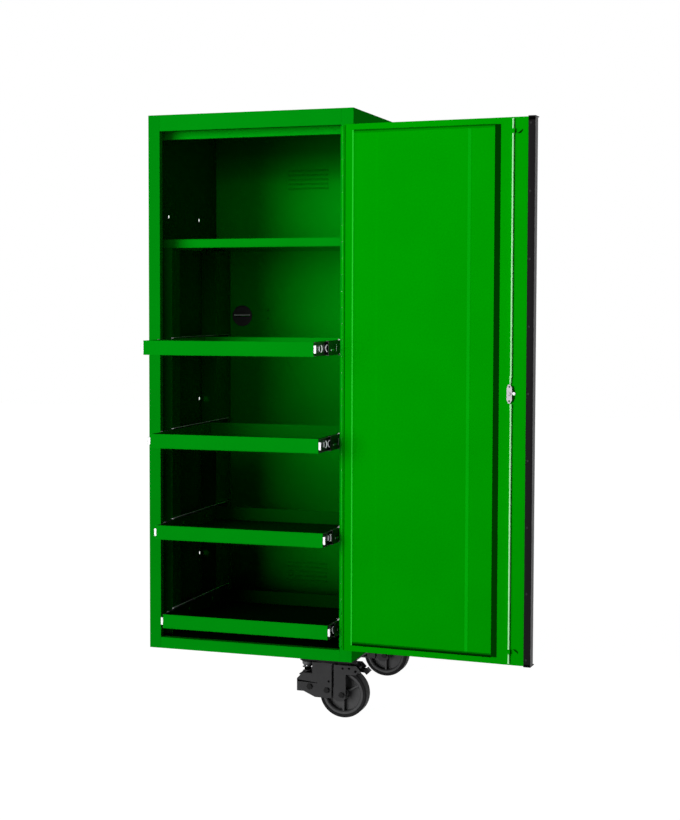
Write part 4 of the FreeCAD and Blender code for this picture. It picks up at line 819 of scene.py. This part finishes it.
slide_details()
hinge_lines()
recess_details()
guide_lances()
lock_details()
pull_caps()
cable_slit()
caster_details("front")
caster_details("rear")
for node in frame["nodes"]:
    dress(node)


# ------------------------------------------------------------------ stage
AMBIENT = 0.013            # strength of the world as light
FLOOR_GREY = 0.3
FLOOR_GLOW = 0.985
FLOOR_HALF = 12.0
FLOOR_DROP = 0.0004
CAMERA_TILT = 3.316        # degrees below the horizontal
CAMERA_TURN = 19.909       # degrees round to the right of the front


def seen_directly(tree):
    """One for camera rays and mirrored ones, else zero; and the light path node."""
    path = tree.nodes.new("ShaderNodeLightPath")
    seen = maths(tree, "MAXIMUM", path.outputs["Is Camera Ray"], path.outputs["Is Glossy Ray"])
    return seen, path


def backdrop_world():
    """White to the eye and in reflections, a dim grey as light."""
    world = bpy.data.worlds.new("studio")
    scene.world = world
    world.use_nodes = True
    tree = world.node_tree
    ground = tree.nodes["Background"]
    ground.inputs["Strength"].default_value = 1.0
    seen, path = seen_directly(tree)
    seen = maths(tree, "MAXIMUM", seen, path.outputs["Is Transmission Ray"])
    tree.links.new(mixed(tree, seen, grey(AMBIENT), grey(1.0)), ground.inputs["Color"])


def floor():
    """Pale floor that keeps the object's shadow."""
    mesh = bpy.data.meshes.new("floor")
    corners = rectangle(-FLOOR_HALF, FLOOR_HALF, -FLOOR_HALF, FLOOR_HALF,
                        lambda x, y: (x, y, cad_low.z - FLOOR_DROP))
    mesh.from_pydata(corners, [], [(0, 1, 2, 3)])
    ground = bpy.data.objects.new("floor", mesh)
    scene.collection.objects.link(ground)
    pale = bpy.data.materials.new("pale_floor")
    pale.use_nodes = True
    tree = pale.node_tree
    tree.nodes.remove(tree.nodes["Principled BSDF"])
    diffuse = tree.nodes.new("ShaderNodeBsdfDiffuse")
    diffuse.inputs["Color"].default_value = grey(FLOOR_GREY)
    glow = tree.nodes.new("ShaderNodeEmission")
    seen, _ = seen_directly(tree)
    tree.links.new(maths(tree, "MULTIPLY", seen, FLOOR_GLOW), glow.inputs["Strength"])
    add = tree.nodes.new("ShaderNodeAddShader")
    tree.links.new(diffuse.outputs["BSDF"], add.inputs[0])
    tree.links.new(glow.outputs["Emission"], add.inputs[1])
    tree.links.new(add.outputs["Shader"], tree.nodes["Material Output"].inputs["Surface"])
    mesh.materials.append(pale)
    ground.visible_shadow = False


def lamp(name, azimuth, elevation, strength, angle):
    """Distant soft lamp; its azimuth is positive to the right of the front."""
    data = bpy.data.lights.new(name, "SUN")
    data.energy = strength
    data.angle = math.radians(angle)
    thing = bpy.data.objects.new(name, data)
    scene.collection.objects.link(thing)
    turn, lift = math.radians(azimuth), math.radians(elevation)
    towards = Vector((math.sin(turn) * math.cos(lift), -math.cos(turn) * math.cos(lift),
                      math.sin(lift)))
    thing.rotation_euler = towards.to_track_quat("Z", "Y").to_euler()


def softbox(name, place, aim, power, size):
    """Round soft lamp near the object, out of sight itself."""
    data = bpy.data.lights.new(name, "AREA")
    data.shape = "DISK"
    data.size = size
    data.energy = power
    thing = bpy.data.objects.new(name, data)
    scene.collection.objects.link(thing)
    thing.location = place
    thing.rotation_euler = (place - aim).to_track_quat("Z", "Y").to_euler()
    thing.visible_camera = False
    thing.visible_glossy = False


def photo_camera():
    """Camera at the photo's place, its frame shifted as the photo is cropped."""
    data = bpy.data.cameras.new("camera")
    data.lens = 73.46
    data.sensor_width = 36.0
    data.shift_x = 0.10953
    data.shift_y = -0.01882
    data.clip_end = 60.0
    camera = bpy.data.objects.new("camera", data)
    scene.collection.objects.link(camera)
    camera.location = at(1608.3, -4427.8, 1014.2)
    camera.rotation_euler = (math.radians(90.0 - CAMERA_TILT), 0.0, math.radians(CAMERA_TURN))
    scene.camera = camera


# The shadows of these nodes would fall on the door in bands.
SHADOWLESS = ["door_liner", "door_stiffener", "tray_1"]
SHADOWLESS += ["slide_" + part + "_" + str(number) for part in ("inner", "middle")
               for number in (1, 2, 3)]
for node in SHADOWLESS:
    frame["nodes"][node].visible_shadow = False

backdrop_world()
floor()
lamp("key", azimuth=-30.0, elevation=4.0, strength=2.75, angle=40.0)
lamp("side", azimuth=96.0, elevation=8.0, strength=0.75, angle=20.0)
softbox("fill", at(-100.0, -1100.0, 1450.0), aim=at(0.0, 250.0, 760.0), power=3.2, size=1.4)
photo_camera()
scene.view_settings.view_transform = "Standard"

bpy.context.view_layer.update()
